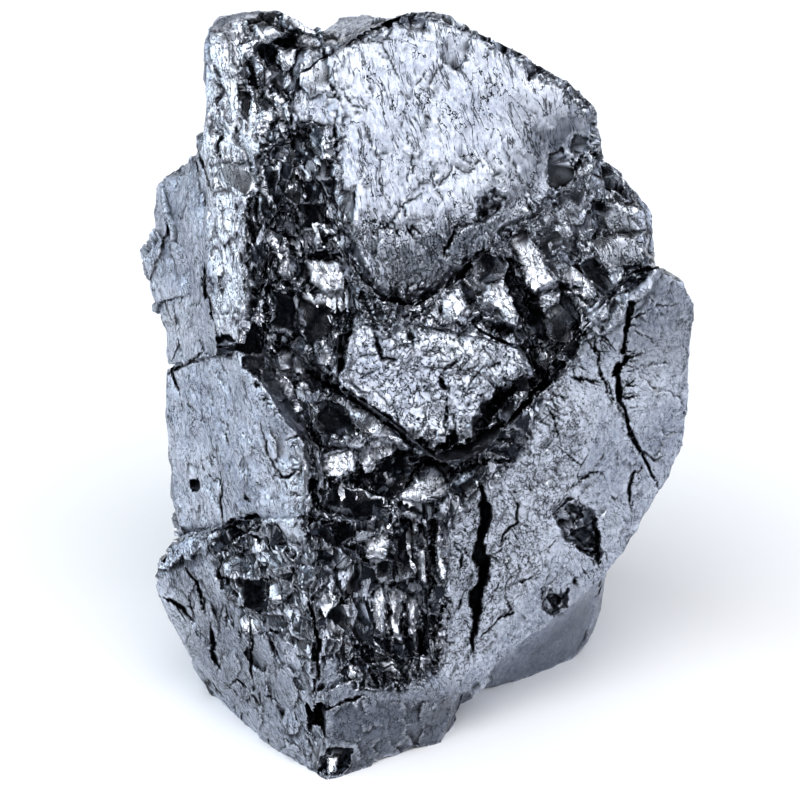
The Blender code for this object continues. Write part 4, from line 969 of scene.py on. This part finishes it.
# Painted shade: the satin is darkened where less light falls, most of all on the crown's lower right edge,
# the low front and the heel.
finish("painted_shade", [
    (CROWN, 0.28), (CROWN_EDGE, 0.65), (FOOT, 0.4), (LOW_FRONT, 0.75), (SLABS, 0.3), (RUGGED, 0.5),
    (BOSS, 0.2), (HEEL, 0.65), (WING_TOP, 0.4),
], 3.0)
lump.data.transform(face_to_world)
lump.name = "shungite_lump"
bpy.ops.object.shade_smooth_by_angle(angle=SHARP)


# --- The lustre -------------------------------------------------------------------------------------
# Shungite is nearly pure carbon with the lustre of dark metal. Nothing polished it but its own break:
# it is satin on the joint faces, with countless short marks down the vein, and glassy on the shards.
VEIN_LEAN = math.radians(13)  # how far the marks of the vein lean over from upright
RAKE_LEAN = math.radians(48)  # how far the long hairlines that cross the wing lean over
SATIN, GLASS = 0.44, 0.16  # how rough each finish is
SLIVER = (0.45, 0.6, 1.7)  # mm, one sliver of the glassy break: across, into the face, down the vein


def srgb(hex_colour):
    """An sRGB hex colour as linear red, green, blue and alpha."""
    parts = [int(hex_colour[i:i + 2], 16) / 255 for i in (0, 2, 4)]
    return [c / 12.92 if c <= 0.04045 else ((c + 0.055) / 1.055) ** 2.4 for c in parts] + [1.0]


def node(kind, inputs, output=0, **settings):
    """Adds a node, sets its properties, gives its inputs values or links, and returns one output."""
    made = tree.nodes.new("ShaderNode" + kind)
    for name, value in settings.items():
        setattr(made, name, value)
    for name, value in inputs.items() if isinstance(inputs, dict) else enumerate(inputs):
        if isinstance(value, bpy.types.NodeSocket):
            tree.links.new(value, made.inputs[name])
        else:
            made.inputs[name].default_value = value
    return made.outputs[output]


def waves(vector, size, detail=3.0):
    """Cloudy noise from 0 to 1, its clouds this size in mm each way."""
    scaled = node("VectorMath", (vector, size), operation="DIVIDE")
    return node("TexNoise", {"Vector": scaled, "Scale": 1.0, "Detail": detail, "Roughness": 0.58}, "Fac")


def hairline(vector, size, width, zone, clumps=1.0, strength=1.0):
    """Cracks that wander, where a cloudy wave crosses its middle. They thin out as zone or clumps falls.

    size is the size of their loops in mm each way. width is a share of the loops."""
    middle = node("Math", (waves(vector, size, 4.0), 0.5), operation="SUBTRACT")
    off = node("Math", (middle,), operation="ABSOLUTE")
    shown = node("Math", (zone, clumps), operation="MULTIPLY")
    shown = node("Math", (shown, 0.0001), operation="MAXIMUM")
    share = node("Math", (off, shown), operation="DIVIDE")
    return node("MapRange", (share, width * 0.4, width, strength, 0.0))


def strongest(*marks):
    """The strongest of several marks at each place."""
    for mark in marks[1:]:
        marks = (node("Math", (marks[0], mark), operation="MAXIMUM"),)
    return marks[0]


lustre = bpy.data.materials.new("satin_and_glassy_shungite")
lustre.use_nodes = True
tree = lustre.node_tree
shader = tree.nodes["Principled BSDF"]
shader.inputs["Metallic"].default_value = 1.0

is_glassy, is_slivered, is_painted_highlight, is_painted_edge_highlight, is_crack_and_painted_shade, is_dashed, is_crazed, is_raked, is_ribbed, is_painted_shade = (
    node("Attribute", (), "Fac", attribute_name=name)
    for name in (
        "glassy", "slivered", "bright", "edge", "crack", "dashed", "crazed", "raked", "ribbed", "painted_shade",
    )
)

# Turned to lie on the broad face and counted in millimetres: across, into the face, up.
where = node("TexCoord", (), "Object")
face = node("Mapping", {"Vector": where, "Rotation": (FACE_LEAN, 0, 0), "Scale": (1 / MM,) * 3})
sway = node("TexNoise", {"Vector": face, "Scale": 0.25, "Detail": 1.0}, "Color")
swayed = node("VectorMath", (sway, (1.5,) * 3, face), operation="MULTIPLY_ADD")
vein = node("Mapping", {"Vector": swayed, "Rotation": (0, VEIN_LEAN, 0)})
rake = node("Mapping", {"Vector": swayed, "Rotation": (0, RAKE_LEAN, 0)})
# The marks come and go in patches. A Map Range node takes a value, the two ends that it runs between and
# the two that it comes out at.
patch = waves(face, (2.6, 2.6, 2.6))
here = node("MapRange", (patch, 0.42, 0.58, 0.0, 1.0))
there = node("MapRange", (patch, 0.58, 0.42, 0.0, 1.0))
far = node("MapRange", (waves(vein, (1.6, 1.6, 3.5)), 0.48, 0.56, 0.0, 1.0))

# The real hairlines are 0.02 to 0.05 mm wide. They are drawn up to about 0.15 mm, to show.
runs = hairline(vein, (0.8, 1.5, 6.0), 0.030, is_dashed, far, 0.85)
strays = hairline(vein, (1.8, 2.0, 3.2), 0.014, is_dashed, here)
dashes = node("Math", (is_dashed, 0.06, waves(vein, (0.24, 0.5, 1.3))), operation="MULTIPLY_ADD")
dashes = node("MapRange", (dashes, 0.665, 0.72, 0.0, 0.55))
# A net of cracks on the crazed plates.
loops = hairline(swayed, (1.2, 1.2, 1.2), 0.028, is_crazed)
long_loops = hairline(vein, (0.9, 1.0, 2.2), 0.030, is_crazed, there)
crumbs = hairline(swayed, (0.6, 0.6, 0.6), 0.045, is_crazed, here)
# Long hairlines that cross the wing.
scores = hairline(rake, (0.7, 0.9, 5.0), 0.030, is_raked, there)
long_scores = hairline(rake, (1.6, 1.6, 7.0), 0.016, is_raked, far)
# Seams between the fibres of the ribbed column.
fibre = waves(vein, (0.35, 0.5, 3.5))
slits = node("MapRange", (fibre, 0.60, 0.64, 0.0, 1.0))
slits = node("Math", (slits, is_ribbed), operation="MULTIPLY")
seams = hairline(vein, (0.8, 0.8, 6.0), 0.025, is_ribbed)
# The dark lines take in the crack attribute, with its painted shade.
lines = strongest(
    is_crack_and_painted_shade, runs, strays, dashes, loops, long_loops, crumbs, scores, long_scores, slits, seams,
)

# The glassy break: thin slivers down the vein, of which a few lean back to the light and are painted bright
# as painted glints. They come in clusters, and between them it is black.
ragged = node("TexNoise", {"Vector": face, "Scale": 1.6, "Detail": 2.0}, "Color")
torn = node("VectorMath", (ragged, (0.5,) * 3, vein), operation="MULTIPLY_ADD")
spot = node("VectorMath", (torn, SLIVER), operation="DIVIDE")
home = node("TexVoronoi", {"Vector": spot, "Scale": 1.0}, "Position")
chance = home.node.outputs["Color"]
away = node("VectorMath", (spot, home), operation="SUBTRACT")
cluster = node("MapRange", (waves(face, (3.0, 3.0, 4.0)), 0.47, 0.60, 0.03, 0.6))
often = node("Math", (cluster, is_slivered), operation="MULTIPLY")
chosen = node("Math", (node("SeparateColor", (chance,)), often), operation="LESS_THAN")
painted_glint_slivers = node("Math", (chosen, is_glassy), operation="MULTIPLY")
dark = node("Math", (is_glassy, painted_glint_slivers), operation="SUBTRACT")
leaned = node("VectorMath", (away, (0.02, 0.0, -0.30 * SLIVER[2])), "Value", operation="DOT_PRODUCT")
twisted = node("VectorMath", (away, chance), "Value", operation="DOT_PRODUCT")
slight = node("Math", (is_glassy, 0.03), operation="MULTIPLY")

# The satin runs from slate blue to pale steel, mottled and streaked down the vein. Over it lie painted shade,
# the black glassy break, painted highlights, and the dark lines, which carry painted shade in the hollows.
mottle = waves(vein, (0.35, 0.4, 0.6))
shade = node("Math", (waves(face, (8.0, 8.0, 8.0)), mottle), operation="ADD")
shade = node("MapRange", (shade, 0.75, 1.3, 0.0, 1.0))
# Painted highlight on the edges that stand out.
edges = node("Math", (is_painted_edge_highlight, 0.45), operation="MULTIPLY")
colour = srgb("CDD3DF")
for share, over in (
    (shade, "868EA0"),
    # painted shade
    (is_painted_shade, "3C414E"),
    (dark, "272B33"),
    # painted highlights: glints on the slivers, the lit parts and the edges
    (strongest(painted_glint_slivers, is_painted_highlight, edges), "DDE2EE"),
    # dark lines, with painted shade in the cracks and hollows
    (lines, "0E0F12"),
):
    # A Mix node takes the share in 0 and two colours in 6 and 7, and gives the mixed colour out in 2.
    colour = node("Mix", {0: share, 6: colour, 7: srgb(over)}, 2, data_type="RGBA")
tree.links.new(colour, shader.inputs["Base Color"])
tree.links.new(node("MapRange", (dark, 0.0, 1.0, SATIN, GLASS)), shader.inputs["Roughness"])

# What stands out of the surface, in mm: the slivers, the fibres, the mottle and the cut of the lines.
relief = node("Math", (leaned, painted_glint_slivers), operation="MULTIPLY")
fibrous = node("Math", (is_ribbed, -0.20), operation="MULTIPLY")
for height, share in ((twisted, slight), (fibre, fibrous), (mottle, 0.015), (lines, -0.015)):
    relief = node("Math", (height, share, relief), operation="MULTIPLY_ADD")
bumps = node("Bump", {"Strength": 1.0, "Distance": MM, "Height": relief})
tree.links.new(bumps, shader.inputs["Normal"])
lump.data.materials.clear()
lump.data.materials.append(lustre)

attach(lump, "root")
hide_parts("shungite")


# --- The table, the light and the camera ------------------------------------------------------------
# The lump stands on matt white paper, in a room of large soft lamps. The camera looks straight at its
# broad face from a metre away.
LUMP_MIDDLE = Vector((0, 0, 0.03))  # metres
bpy.ops.mesh.primitive_plane_add(size=12)
table = bpy.context.object
table.name = "table"
paper = bpy.data.materials.new("matt_white_paper")
paper.use_nodes = True
paper.node_tree.nodes["Principled BSDF"].inputs["Base Color"].default_value = srgb("F4F5F8")
paper.node_tree.nodes["Principled BSDF"].inputs["Roughness"].default_value = 0.9
table.data.materials.append(paper)


def softbox(name, at, size, brightness, colour):
    """A rectangle of light at a place in metres, facing the lump."""
    lamp = bpy.data.lights.new(name, "AREA")
    lamp.shape = "RECTANGLE"
    lamp.size, lamp.size_y = size
    lamp.energy = brightness * math.pi * size[0] * size[1]
    lamp.color = srgb(colour)[:3]
    stand = bpy.data.objects.new(name, lamp)
    stand.location = at
    stand.rotation_euler = (LUMP_MIDDLE - Vector(at)).to_track_quat("-Z", "Y").to_euler()
    bpy.context.scene.collection.objects.link(stand)


softbox("overhead", (0.05, -0.95, 1.7), (2.4, 1.4), 4.2, "FFFFFF")
softbox("left", (-1.9, -0.1, 0.9), (2.4, 1.6), 3.4, "EAF6FF")
softbox("right", (1.9, -0.3, 0.75), (1.8, 1.4), 2.4, "EEF4FF")
softbox("behind", (0.0, 2.2, 0.9), (2.4, 1.2), 2.4, "FFFFFF")

room = bpy.data.worlds.new("room")
room.use_nodes = True
room.node_tree.nodes["Background"].inputs["Color"].default_value = srgb("FFFFFF")
room.node_tree.nodes["Background"].inputs["Strength"].default_value = 0.04
bpy.context.scene.world = room

lens = bpy.data.cameras.new("camera")
lens.lens = 450
lens.sensor_width = 36
lens.clip_end = 20
camera = bpy.data.objects.new("camera", lens)
back = Vector((0, -math.cos(FACE_LEAN), math.sin(FACE_LEAN)))
camera.location = FACE_CENTRE * MM + back
camera.rotation_euler = (-back).to_track_quat("-Z", "Y").to_euler()
bpy.context.scene.collection.objects.link(camera)
bpy.context.scene.camera = camera
bpy.context.scene.view_settings.view_transform = "Standard"
